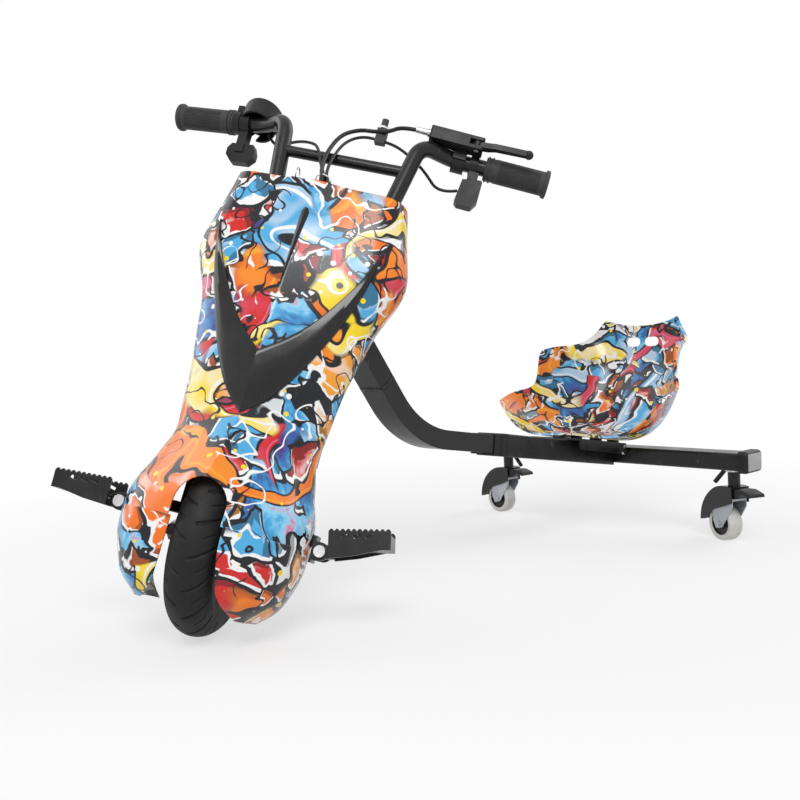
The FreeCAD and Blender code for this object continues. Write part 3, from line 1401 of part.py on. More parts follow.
def seat_bolts(shell):
    """Return the seat bolts, their washer heads shaped to the seat, and the bolts of the carrier's rails."""
    bolts = []
    for x, y, z in seat_bolt_places():
        head_top = z + SEAT_PAD + SEAT_WALL + 3
        shaft = along_z(z - PLATE - 9, head_top, SEAT_BOLT, x, y)
        pieces = along_z(z + SEAT_PAD, head_top, SEAT_BOLT_HEAD, x, y).cut(shell).Solids
        head = max(pieces, key=lambda piece: piece.CenterOfMass.z)
        nut = hexagon(Vec(x, y, z - PLATE - 7.4), Vec(0, 0, 1), SEAT_NUT_FLATS, SEAT_NUT_HEIGHT)
        bolts.append(shaft.fuse([head, nut]))
    return Part.makeCompound(bolts + carrier_bolts())


def carrier_bolts():
    """Return the bolt heads on both rails of the carrier, beside the crossbar joint."""
    bolts = []
    y = WHEELBASE - CROSSBAR_DEPTH / 2 - CARRIER_BOLT_BACK
    for drop in CARRIER_BOLT_DROPS:
        z = carrier_height(y) - drop
        head = along_x(CARRIER_HALF, CARRIER_HALF + CARRIER_BOLT_PROUD, CARRIER_BOLT_HEAD, y, z)
        bolts += [head, mirror_x(head)]
    return bolts


# Casters

def caster_placement(name):
    """Return where a caster stands: on the floor under its socket, turned about its stem."""
    side = 1 if name == "left" else -1
    spot = Vec(side * CASTER_TRACK / 2, WHEELBASE, 0)
    return FreeCAD.Placement(spot, FreeCAD.Rotation(Vec(0, 0, 1), CASTER_TURN[name]))


def caster(name, shape):
    """Place a shape drawn about the caster's stem."""
    placed = shape.copy()
    placed.Placement = caster_placement(name).multiply(placed.Placement)
    return placed


def caster_frame():
    """Return the caster's stem, its steel fork and the riveted wheel pin."""
    inner = CASTER_WIDTH / 2 + CASTER_SIDE_GAP
    outer = inner + CASTER_PLATE
    top = FRAME_TOP - 1
    outline = [(CASTER_TRAIL - 8, CASTER_WHEEL - 5), (CASTER_TRAIL + 5, CASTER_WHEEL - 8),
               (CASTER_TRAIL + 11, CASTER_WHEEL + 3), (CASTER_TRAIL + 8, top), (-10, top), (-10, top - 10)]
    plates = [prism(outline, inner, outer), prism(outline, -outer, -inner)]
    bridge = block(-10, CASTER_TRAIL + 8, -outer, outer, FRAME_TOP - 3, FRAME_TOP)
    neck = along_z(FRAME_TOP, CROSSBAR_LOW - SOCKET_FLANGE - FLAT_GAP, CASTER_NECK)
    stem = along_z(FRAME_TOP, CROSSBAR_LOW + STEM_IN, STEM_RADIUS)
    pivot = along_y(-PEDAL_HALF - 0.2, PEDAL_HALF + 0.2, PEDAL_PIN, 0, PEDAL_HEIGHT)
    pin = along_y(-outer - 1, outer + 1, WHEEL_PIN, CASTER_TRAIL, CASTER_WHEEL)
    rivets = along_y(-outer - 1.2, outer + 1.2, 4.6, CASTER_TRAIL, CASTER_WHEEL)
    rivets = rivets.cut(along_y(-outer, outer, 6, CASTER_TRAIL, CASTER_WHEEL))
    return neck.fuse(plates + [bridge, stem, pivot, pin] + rivets.Solids).removeSplitter()


def caster_wheel():
    """Return the caster's wheel with its recessed sides and bored hub."""
    half = CASTER_WIDTH / 2
    rim = CASTER_WHEEL
    right = [(half - 3, rim), (half, rim - 3), (half, 18.5), (half - 2.5, 17), (half - 2.5, 9),
             (half, 8), (half, WHEEL_PIN + RUNNING_GAP)]
    left = [(-y, r) for y, r in reversed(right)]
    face = flat_face([Vec(CASTER_TRAIL, y, CASTER_WHEEL + r) for y, r in left + right])
    return face.revolve(Vec(CASTER_TRAIL, 0, CASTER_WHEEL), Vec(0, 1, 0), 360)


def hood_solid(inset, half):
    """Return the hood's filled form for a wall inset and a half width."""
    back = [Vec(x - inset * (x - 14) / 36, 0, z - inset) for x, z in HOOD_BACK]
    skirt = [Vec(x, 0, z) for x, z in HOOD_SKIRT]
    skirt[-1] = skirt[-1].sub(Vec(0, 0, inset))
    corners = [back[-1]] + skirt + [back[0]]
    face = flat_face(smooth_line(back, HOOD_POINTS) + corners[1:-1])
    face.translate(Vec(0, -half, 0))
    return face.extrude(Vec(0, 2 * half, 0))


def caster_hood():
    """Return the moulded hood over the fork, open below, with a hole for the neck."""
    outer = hood_solid(0.0, HOOD_HALF)
    inner = hood_solid(HOOD_WALL, HOOD_HALF - HOOD_WALL)
    inner = inner.fuse(inner.translated(Vec(-2.5, 0, -1)))
    hood = outer.cut(inner)
    return hood.cut(along_z(50, 90, CASTER_NECK))


def caster_pedal():
    """Return the brake pedal that sticks out in front of the neck."""
    outline = [(-13, 66), (-13, 78), (-30, 78.5), (-45, 74), (-47, 70), (-44, 69), (-30, 72), (-20, 66)]
    plate = prism(outline, -PEDAL_HALF, PEDAL_HALF)
    ears = []
    for y in (-PEDAL_HALF, PEDAL_HALF - 3):
        ears.append(block(-18, 0, y, y + 3, PEDAL_HEIGHT - 4.5, PEDAL_HEIGHT + 4.5))
        ears.append(along_y(y, y + 3, 4.5, 0, PEDAL_HEIGHT))
    pedal = plate.fuse(ears)
    return pedal.cut(along_y(-20, 20, PEDAL_PIN + RUNNING_GAP, 0, PEDAL_HEIGHT))


def thumb_screws(sockets):
    """Return the two screws that lock the caster sockets."""
    x = CASTER_TRACK / 2
    low = Vec(x - 29, WHEELBASE, CROSSBAR_LOW - 20)
    shaft = rod(Vec(x - 12, WHEELBASE, CROSSBAR_LOW), low, THUMB_SCREW)
    above = block(0, x + 40, WHEELBASE - 20, WHEELBASE + 20, CROSSBAR_LOW, CROSSBAR_LOW + 20)
    return both_sides(shaft.cut([above, sockets]))


def steering_nodes():
    """Return the nodes that are drawn in the steering frame."""
    shell = fairing_shell()
    cables = control_cables()
    nodes = {}
    nodes["tyre"] = tyre()
    nodes["hub_drum"] = hub_drum()
    nodes["hub_covers"] = both_sides(hub_cover())
    nodes["wheel_bearings"] = both_sides(wheel_bearing())
    nodes["motor_stator"] = motor_stator()
    nodes["front_axle"] = front_axle()
    nodes["axle_nuts"] = axle_nuts()
    nodes["fork"] = fork()
    nodes["steerer_tube"] = steerer_tube()
    nodes["headset_cups"] = headset_cups()
    nodes["headset_cones"] = headset_cones()
    nodes["head_tube"] = head_tube()
    nodes["top_yoke"] = top_yoke()
    nodes["battery_pack"] = battery_pack()
    nodes["controller_box"] = controller_box()
    nodes["fairing_shell"] = shell
    nodes["fairing_mounts"] = fairing_mounts(shell)
    nodes["wheel_covers"] = both_sides(wheel_cover())
    nodes["front_trim"] = front_trim()
    nodes["dash_lid"] = dash_lid()
    nodes["rear_cover_upper"] = rear_cover_upper()
    nodes["rear_cover_lower"] = rear_cover_lower()
    nodes["ignition_lock"] = ignition_lock()
    nodes["ignition_key"] = ignition_key()
    nodes["handlebar"] = handlebar()
    nodes["grips"] = Part.makeCompound([grip(1), grip(-1)])
    nodes["brake_perch"] = brake_perch()
    nodes["brake_lever"] = brake_lever()
    nodes["brake_fittings"] = brake_fittings()
    nodes["switch_housing"] = switch_housing()
    nodes["horn_button"] = horn_button()
    nodes["light_rocker"] = light_rocker()
    nodes["throttle_pod"] = throttle_pod()
    nodes["display_lens"] = display_lens()
    nodes["throttle_paddle"] = throttle_paddle()
    nodes["peg_brackets"] = both_sides(peg_bracket())
    nodes["peg_bolts"] = both_sides(peg_bolt())
    nodes["peg_left"] = peg("left")
    nodes["peg_right"] = mirror_x(peg("right"))
    nodes["control_cables"] = cables
    nodes["cable_holders"] = cable_holders(cables)
    return nodes


def rear_nodes():
    """Return the nodes of the beam, the seat and the casters."""
    carrier = seat_carrier()
    shell = seat_shell()
    sockets = Part.makeCompound([caster_socket(side * CASTER_TRACK / 2) for side in (-1, 1)])
    nodes = {}
    nodes["main_beam"] = main_beam()
    nodes["beam_sleeve"] = beam_sleeve()
    nodes["sleeve_bush"] = sleeve_bush()
    nodes["rear_crossbar"] = rear_crossbar()
    nodes["crossbar_end_caps"] = both_sides(end_cap())
    nodes["caster_sockets"] = sockets
    nodes["seat_carrier"] = carrier
    nodes["seat_shell"] = shell
    nodes["seat_pads"] = seat_pads(shell, carrier)
    nodes["seat_bolts"] = seat_bolts(shell)
    nodes["thumb_screws"] = thumb_screws(sockets)
    for name in ("left", "right"):
        nodes["caster_frame_" + name] = caster(name, caster_frame())
        nodes["caster_hood_" + name] = caster(name, caster_hood())
        nodes["caster_wheel_" + name] = caster(name, caster_wheel())
        nodes["caster_pedal_" + name] = caster(name, caster_pedal())
    return nodes


def build_nodes():
    """Return every node's shape by name."""
    nodes = {name: steered(shape) for name, shape in steering_nodes().items()}
    nodes.update(rear_nodes())
    return nodes


def ground_shift(nodes):
    """Return the move that puts the scooter's box on the origin, centred above the floor."""
    box = Part.makeCompound(list(nodes.values())).optimalBoundingBox(True, False)
    return Vec(-box.Center.x, -box.Center.y, -box.ZMin)


def main():
    """Build every node and write one STEP file for each."""
    os.makedirs("parts", exist_ok=True)
    nodes = build_nodes()
    shift = ground_shift(nodes)
    print("shift", shift)
    for name, shape in nodes.items():
        shape.translate(shift)
        print(name, "valid", shape.isValid(), "solids", len(shape.Solids))
        shape.exportStep("parts/" + name + ".step")


main()
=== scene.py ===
"""Looks of the drift scooter: moulded surfaces, finishes, cables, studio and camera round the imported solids.

Lengths in the classes are millimetres in the steering frame or the vehicle frame, and every mesh is in metres.
The steering frame has x across, y backwards and z up the steering axis, with its origin on the wheel axle.
"""

import logging
import math
from dataclasses import dataclass
from enum import Enum
from typing import Optional, Sequence

import bmesh
import bpy
import numpy as np
from mathutils import Matrix, Vector
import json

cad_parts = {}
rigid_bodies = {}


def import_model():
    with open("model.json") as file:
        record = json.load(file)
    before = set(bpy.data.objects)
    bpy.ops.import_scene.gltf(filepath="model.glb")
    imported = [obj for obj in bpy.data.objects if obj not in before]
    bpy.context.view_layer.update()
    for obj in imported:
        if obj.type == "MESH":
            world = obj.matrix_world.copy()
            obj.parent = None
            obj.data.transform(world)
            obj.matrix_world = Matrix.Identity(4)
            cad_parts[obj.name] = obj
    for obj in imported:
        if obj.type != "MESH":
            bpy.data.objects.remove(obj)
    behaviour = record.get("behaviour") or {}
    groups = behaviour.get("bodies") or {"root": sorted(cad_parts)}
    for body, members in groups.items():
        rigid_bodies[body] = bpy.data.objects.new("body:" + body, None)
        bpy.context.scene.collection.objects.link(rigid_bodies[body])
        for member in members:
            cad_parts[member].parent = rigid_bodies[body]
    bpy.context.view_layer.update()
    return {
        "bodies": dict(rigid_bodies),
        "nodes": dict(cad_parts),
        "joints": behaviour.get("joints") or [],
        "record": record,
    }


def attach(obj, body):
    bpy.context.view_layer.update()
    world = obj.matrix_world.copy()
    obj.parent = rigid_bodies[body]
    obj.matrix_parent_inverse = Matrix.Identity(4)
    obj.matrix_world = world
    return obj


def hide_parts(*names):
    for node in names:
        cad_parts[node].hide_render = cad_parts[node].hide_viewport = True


LOG = logging.getLogger("scooter")
MM = 0.001
DUST = (0.42, 0.40, 0.37, 1.0)
BUMP_STRENGTH = 0.6
WEAR_ROUGHENS = 0.3
RAKE = math.radians(22.75)
STEER_TURN = math.radians(40.3)

Colour = tuple[float, float, float]
Pair = tuple[float, float]
Triple = tuple[float, float, float]


class Slot(str, Enum):
    """The record's material slots."""

    PRINT = "printed_shell"
    GLOSS = "gloss_black"
    PLASTIC = "black_plastic"
    STEEL = "black_steel"
    RUBBER = "black_rubber"
    TYRE = "tyre_rubber"
    BRIGHT = "bright_steel"
    ALLOY = "cast_alloy"
    TREAD = "white_tread"
    WRAP = "battery_wrap"
    IRON = "stator_iron"


# Splines and grids

def natural_spline(knots: np.ndarray, values: np.ndarray, places: np.ndarray) -> np.ndarray:
    """Carry a natural cubic spline through values at knots.

    The second derivatives M solve h0*M0 + 2*(h0+h1)*M1 + h1*M2 = 6*(slope1 - slope0), with M = 0 at both ends.

    Args:
        knots: rising parameter of each value.
        values: array whose first axis runs along the knots.
        places: parameters to work the spline out at.

    Returns:
        The spline's values, with the places along the first axis.
    """
    knots = np.asarray(knots, float)
    values = np.asarray(values, float)
    flat = values.reshape(len(knots), -1)
    step = np.diff(knots)
    slope = np.diff(flat, axis=0) / step[:, None]
    matrix = np.eye(len(knots))
    right = np.zeros_like(flat)
    inner = np.arange(1, len(knots) - 1)
    matrix[inner, inner - 1] = step[:-1]
    matrix[inner, inner] = 2 * (step[:-1] + step[1:])
    matrix[inner, inner + 1] = step[1:]
    right[1:-1] = 6 * np.diff(slope, axis=0)
    bend = np.linalg.solve(matrix, right)
    cell = np.clip(np.searchsorted(knots, places, side="right") - 1, 0, len(step) - 1)
    width = step[cell][:, None]
    high = (np.asarray(places)[:, None] - knots[cell][:, None]) / width
    low = 1 - high
    curve = low * flat[cell] + high * flat[cell + 1]
    curve = curve + ((low ** 3 - low) * bend[cell] + (high ** 3 - high) * bend[cell + 1]) * width ** 2 / 6
    return curve.reshape((len(places),) + values.shape[1:])


def smooth_line(points: np.ndarray, count: int) -> np.ndarray:
    """Return count points on the natural spline through points, spaced by their chord lengths."""
    chord = np.linalg.norm(np.diff(points, axis=0), axis=1)
    knots = np.concatenate([[0.0], np.cumsum(chord)])
    return natural_spline(knots, points, np.linspace(0, knots[-1], count))


def table(rows: Sequence[Pair], places: np.ndarray) -> np.ndarray:
    """Return the straight-line value of a (place, value) table at each place."""
    data = np.asarray(rows, float)
    return np.interp(places, data[:, 0], data[:, 1])


def grid_faces(rows: int, columns: int, wrap: bool, start: int = 0) -> np.ndarray:
    """Return the quads of a grid of points.

    Args:
        rows: points along the first axis.
        columns: points along the second axis.
        wrap: whether the second axis closes on itself.
        start: number of the grid's first vertex.

    Returns:
        An array of four vertex numbers for each quad.
    """
    index = start + np.arange(rows * columns).reshape(rows, columns)
    if wrap:
        index = np.hstack([index, index[:, :1]])
    quads = [index[:-1, :-1], index[1:, :-1], index[1:, 1:], index[:-1, 1:]]
    return np.stack([q.ravel() for q in quads], axis=1)


def both_sides(line: np.ndarray) -> np.ndarray:
    """Return a line of points (x, height) after its mirror image in x, their first point shared."""
    return np.concatenate([line[:0:-1] * np.array([-1.0, 1.0]), line])


def link(name: str, data: bpy.types.ID) -> bpy.types.Object:
    """Return a new object with the data, linked to the scene."""
    item = bpy.data.objects.new(name, data)
    bpy.context.scene.collection.objects.link(item)
    return item


def shade(mesh: bpy.types.Mesh, crease: float) -> None:
    """Shade a mesh smooth, with its edges sharp past an angle in degrees."""
    mesh.shade_smooth()
    mesh.set_sharp_from_angle(angle=math.radians(crease))


def make_object(name: str, points: np.ndarray, faces: Sequence, crease: float = 35.0) -> bpy.types.Object:
    """Return a mesh object with merged doubles, outward normals and smooth faces.

    Args:
        name: the piece's name.
        points: vertices in metres.
        faces: lists of vertex numbers.
        crease: angle in degrees past which an edge stays sharp.
    """
    mesh = bpy.data.meshes.new(name)
    mesh.from_pydata(points.reshape(-1, 3).tolist(), [], [list(map(int, f)) for f in faces])
    work = bmesh.new()
    work.from_mesh(mesh)
    bmesh.ops.remove_doubles(work, verts=work.verts, dist=2e-6)
    bmesh.ops.recalc_face_normals(work, faces=work.faces)
    work.to_mesh(mesh)
    work.free()
    shade(mesh, crease)
    return link(name, mesh)


def closed_tube(name: str, rings: np.ndarray, crease: float = 35.0) -> bpy.types.Object:
    """Return a closed skin over rings of points (ring, point, xyz), with flat faces over both ends."""
    rows, columns = rings.shape[:2]
    faces = grid_faces(rows, columns, True).tolist()
    faces.append(list(range(columns)))
    faces.append(list(range((rows - 1) * columns, rows * columns)))
    return make_object(name, rings, faces, crease)


def thick_wall(name: str, outer: np.ndarray, inner: np.ndarray, crease: float = 35.0) -> bpy.types.Object:
    """Return a wall between two grids of the same size, closed along all four rims.

    Each row becomes one loop: along the outer grid, then back along the inner one.
    """
    loops = np.concatenate([outer, inner[:, ::-1]], axis=1)
    rows, columns = loops.shape[:2]
    half = outer.shape[1]
    faces = grid_faces(rows, columns, True).tolist()
    for row in (0, rows - 1):
        start = row * columns
        ends = np.arange(half - 1)
        strip = [ends, ends + 1, columns - 2 - ends, columns - 1 - ends]
        faces += (start + np.stack(strip, axis=1)).tolist()
    return make_object(name, loops, faces, crease)


def lathe(name: str, radii: np.ndarray, along: np.ndarray, place: "Place", crease: float = 30.0,
          turns: int = 96) -> bpy.types.Object:
    """Turn a closed profile about an axis.

    Each point lies at (along, radius * cos(turn), radius * sin(turn)) in the place's frame.

    Args:
        name: the piece's name.
        radii: distances from the axis, one per profile point, or a (turn, point) array.
        along: places along the axis, one per profile point.
        place: the frame whose x axis is turned about.
        crease: angle past which an edge stays sharp.
        turns: number of steps round the axis.
    """
    angle = np.linspace(0, 2 * math.pi, turns, endpoint=False)[:, None]
    radii = np.broadcast_to(radii, (turns, len(along)))
    rings = np.stack([np.broadcast_to(along, radii.shape), radii * np.cos(angle), radii * np.sin(angle)], axis=2)
    rings = np.concatenate([rings, rings[:1]], axis=0)
    faces = grid_faces(turns + 1, len(along), True)
    return make_object(name, place.metres(rings), faces, crease)


@dataclass(frozen=True)
class Place:
    """A frame in the scene: axes as columns, and an origin in metres."""

    axes: np.ndarray
    origin: np.ndarray

    def metres(self, points: np.ndarray) -> np.ndarray:
        """Return points given in millimetres in this frame as metres in the scene."""
        return np.asarray(points, float) @ self.axes.T * MM + self.origin

    def moved(self, point: Sequence[float], axes: Optional[np.ndarray] = None) -> "Place":
        """Return a frame inside this one, at a point in millimetres, with its own axes as columns."""
        inner = np.eye(3) if axes is None else np.asarray(axes, float)
        return Place(self.axes @ inner, self.metres(np.asarray(point, float)))


def turn_z(angle: float) -> np.ndarray:
    """Return the matrix of a turn about z."""
    c, s = math.cos(angle), math.sin(angle)
    return np.array([[c, -s, 0], [s, c, 0], [0, 0, 1.0]])


def turn_x(angle: float) -> np.ndarray:
    """Return the matrix of a turn about x."""
    c, s = math.cos(angle), math.sin(angle)
    return np.array([[1.0, 0, 0], [0, c, -s], [0, s, c]])


def axes_along(direction: Sequence[float]) -> np.ndarray:
    """Return axes as columns whose x column is the unit direction."""
    first = np.asarray(direction, float) / np.linalg.norm(direction)
    helper = np.array([0, 0, 1.0]) if abs(first[2]) < 0.9 else np.array([0, 1.0, 0])
    second = np.cross(helper, first)
    second /= np.linalg.norm(second)
    return np.column_stack([first, second, np.cross(first, second)])


def prism(name: str, outline: np.ndarray, low: float, high: float, place: Place, axis: int) -> bpy.types.Object:
    """Return a straight bar with a closed outline, from low to high along one axis of the place."""
    others = [i for i in range(3) if i != axis]
    rings = np.zeros((2, len(outline), 3))
    rings[:, :, others] = outline
    rings[0, :, axis] = low
    rings[1, :, axis] = high
    return closed_tube(name, place.metres(rings))


def cut(item: bpy.types.Object, cutters: Sequence[bpy.types.Object]) -> None:
    """Take the cutters out of a piece and remove them from the scene."""
    for cutter in cutters:
        change = item.modifiers.new("cut", "BOOLEAN")
        change.operation = "DIFFERENCE"
        change.solver = "EXACT"
        change.object = cutter
    bake(item)
    for cutter in cutters:
        bpy.data.objects.remove(cutter)


def bake(item: bpy.types.Object) -> None:
    """Make the piece's live modifiers part of its mesh."""
    bpy.context.view_layer.update()
    graph = bpy.context.evaluated_depsgraph_get()
    mesh = bpy.data.meshes.new_from_object(item.evaluated_get(graph))
    item.modifiers.clear()
    item.data = mesh


def round_edges(item: bpy.types.Object, width: float, angle: float = 40.0, steps: int = 2) -> None:
    """Round a piece's sharp edges and even out its shading.

    Args:
        item: the piece.
        width: size of the rounding in millimetres.
        angle: least angle in degrees of an edge that is rounded.
        steps: faces across the rounding.
    """
    bevel = item.modifiers.new("rounding", "BEVEL")
    bevel.width = width * MM
    bevel.segments = steps
    bevel.limit_method = "ANGLE"
    bevel.angle_limit = math.radians(angle)
    bevel.use_clamp_overlap = True
    bevel.miter_outer = "MITER_ARC"
    shading = item.modifiers.new("shading", "WEIGHTED_NORMAL")
    shading.keep_sharp = True
    shading.weight = 80


def face_facts(item: bpy.types.Object) -> tuple[np.ndarray, np.ndarray]:
    """Return the centre and the normal of each face of a piece, as arrays of xyz in metres."""
    count = len(item.data.polygons)
    centres = np.zeros(count * 3)
    normals = np.zeros(count * 3)
    item.data.polygons.foreach_get("center", centres)
    item.data.polygons.foreach_get("normal", normals)
    return centres.reshape(-1, 3), normals.reshape(-1, 3)


# Shader nodes

class Graph:
    """A node tree that is being built."""

    def __init__(self, tree: bpy.types.NodeTree) -> None:
        """Keep the tree."""
        self.tree = tree

    def add(self, kind: str, *slots, settings: Optional[dict] = None, **named) -> bpy.types.Node:
        """Add a node.

        Args:
            kind: the node's type name without the word ShaderNode.
            slots: values or sockets for the inputs in order, None to skip one.
            settings: attributes of the node.
            named: values or sockets by input name, with underscores for spaces.

        Returns:
            The new node.
        """
        node = self.tree.nodes.new("ShaderNode" + kind)
        for key, value in (settings or {}).items():
            setattr(node, key, value)
        for index, value in enumerate(slots):
            self.feed(node.inputs[index], value)
        for key, value in named.items():
            self.feed(node.inputs[key.replace("_", " ")], value)
        return node

    def feed(self, socket: bpy.types.NodeSocket, value) -> None:
        """Link a socket to an input or set the input's own value."""
        if value is None:
            return
        if isinstance(value, bpy.types.NodeSocket):
            self.tree.links.new(value, socket)
        else:
            socket.default_value = value

    def maths(self, operation: str, *slots) -> bpy.types.NodeSocket:
        """Return the result of a Math node."""
        return self.add("Math", *slots, settings={"operation": operation}).outputs[0]

    def vector(self, operation: str, *slots) -> bpy.types.NodeSocket:
        """Return the vector result of a Vector Math node."""
        return self.add("VectorMath", *slots, settings={"operation": operation}).outputs[0]

    def mix(self, factor, first, second, blend: str = "MIX") -> bpy.types.NodeSocket:
        """Return the colour mixed between two colours."""
        node = self.add("Mix", settings={"data_type": "RGBA", "blend_type": blend})
        self.feed(node.inputs[0], factor)
        self.feed(node.inputs[6], first)
        self.feed(node.inputs[7], second)
        return node.outputs[2]

    def fade(self, value, low: float, high: float, start: float = 0.0, end: float = 1.0) -> bpy.types.NodeSocket:
        """Return a value carried from the range low to high into start to end, held at both ends."""
        return self.add("MapRange", value, low, high, start, end, settings={"clamp": True}).outputs[0]

    def noise(self, vector, scale, detail: float = 3.0, rough: float = 0.5) -> bpy.types.Node:
        """Return a Noise Texture node."""
        return self.add("TexNoise", Vector=vector, Scale=scale, Detail=detail, Roughness=rough)

    def ramp(self, value, stops: Sequence[tuple[float, Colour]], hard: bool) -> bpy.types.NodeSocket:
        """Return the colour of a ramp with (place, colour) stops, in steps when hard."""
        node = self.add("ValToRGB", value)
        node.color_ramp.interpolation = "CONSTANT" if hard else "LINEAR"
        elements = node.color_ramp.elements
        while len(elements) < len(stops):
            elements.new(0.5)
        for element, (place, colour) in zip(elements, stops):
            element.position = place
            element.color = (*colour, 1.0)
        return node.outputs[0]


def new_group(name: str, inputs: Sequence[tuple[str, str, float]], outputs: Sequence[tuple[str, str]]):
    """Start a shader node group.

    Args:
        name: the group's name.
        inputs: (name, kind, default) of each input, kind being Float or Vector.
        outputs: (name, kind) of each output.

    Returns:
        The group's tree, its graph, its input node and its output node.
    """
    tree = bpy.data.node_groups.new(name, "ShaderNodeTree")
    for label, kind, default in inputs:
        socket = tree.interface.new_socket(label, in_out="INPUT", socket_type="NodeSocket" + kind)
        if kind == "Float":
            socket.default_value = default
    for label, kind in outputs:
        tree.interface.new_socket(label, in_out="OUTPUT", socket_type="NodeSocket" + kind)
    graph = Graph(tree)
    return tree, graph, tree.nodes.new("NodeGroupInput"), tree.nodes.new("NodeGroupOutput")


def grain_group() -> bpy.types.NodeTree:
    """Build the moulded grain: fine bumps for the height and slow patches for colour and gloss."""
    tree, g, start, end = new_group("moulded_grain", [("Vector", "Vector", 0), ("Scale", "Float", 2500.0)],
                                    [("Height", "Float"), ("Patches", "Float")])
    fine = g.noise(start.outputs["Vector"], start.outputs["Scale"], 2.0, 0.6).outputs[0]
    slow = g.noise(start.outputs["Vector"], 38.0, 4.0, 0.62).outputs[0]
    g.feed(end.inputs["Height"], fine)
    g.feed(end.inputs["Patches"], g.fade(slow, 0.32, 0.7))
    return tree


def scratch_group() -> bpy.types.NodeTree:
    """Build fine scratches: thin bands of two long stretched noises, kept only inside slow patches."""
    tree, g, start, end = new_group("scratches", [("Vector", "Vector", 0), ("Amount", "Float", 0.3)],
                                    [("Mask", "Float")])
    bands = []
    for turn, stretch in (((0.3, 0.8, 0.2), (90, 1900, 90)), ((1.1, 0.2, 0.9), (1500, 120, 70))):
        mapped = g.add("Mapping", start.outputs["Vector"], Rotation=turn, Scale=stretch).outputs[0]
        value = g.noise(mapped, 1.0, 1.0, 0.4).outputs[0]
        bands.append(g.fade(value, 0.69, 0.76))
    both = g.maths("MAXIMUM", *bands)
    patch = g.fade(g.noise(start.outputs["Vector"], 24.0, 3.0).outputs[0], 0.45, 0.68)
    kept = g.maths("MULTIPLY", both, patch)
    g.feed(end.inputs["Mask"], g.maths("MULTIPLY", kept, start.outputs["Amount"]))
    return tree


def dust_group() -> bpy.types.NodeTree:
    """Build a thin dust mask: faces that look up, broken by noise."""
    tree, g, start, end = new_group("settled_dust", [("Vector", "Vector", 0), ("Amount", "Float", 0.2)],
                                    [("Mask", "Float")])
    normal = g.add("NewGeometry").outputs["Normal"]
    up = g.add("SeparateXYZ", normal).outputs[2]
    cloud = g.fade(g.noise(start.outputs["Vector"], 55.0, 5.0, 0.65).outputs[0], 0.4, 0.75)
    mask = g.maths("MULTIPLY", g.fade(up, 0.2, 1.0), cloud)
    g.feed(end.inputs["Mask"], g.maths("MULTIPLY", mask, start.outputs["Amount"]))
    return tree


@dataclass(frozen=True)
class PrintInks:
    """Inks of the splashed print, in linear colour."""

    sky: Colour = (0.075, 0.40, 0.72)
    pale: Colour = (0.30, 0.64, 0.86)
    blue: Colour = (0.022, 0.15, 0.42)
    orange: Colour = (0.86, 0.17, 0.010)
    amber: Colour = (0.90, 0.36, 0.030)
    red: Colour = (0.62, 0.014, 0.012)
    yellow: Colour = (0.92, 0.68, 0.020)
    white: Colour = (0.88, 0.88, 0.88)
    purple: Colour = (0.075, 0.030, 0.20)
    pink: Colour = (0.74, 0.12, 0.24)
    dark: Colour = (0.004, 0.005, 0.010)

    def ground(self) -> list[tuple[float, Colour]]:
        """Return the soft ramp of the ground behind the shapes."""
        return [(0.34, self.purple), (0.43, self.blue), (0.52, self.sky), (0.60, self.pale), (0.68, self.pink)]

    def fills(self) -> list[tuple[float, Colour]]:
        """Return the hard ramp of the shapes' fills, warm inks taking most of it."""
        order = [self.orange, self.sky, self.red, self.white, self.orange, self.yellow, self.sky, self.red,
                 self.pale, self.amber, self.white, self.pink]
        places = [0.0, 0.17, 0.30, 0.41, 0.47, 0.57, 0.64, 0.74, 0.82, 0.87, 0.93, 0.97]
        return list(zip(places, order))


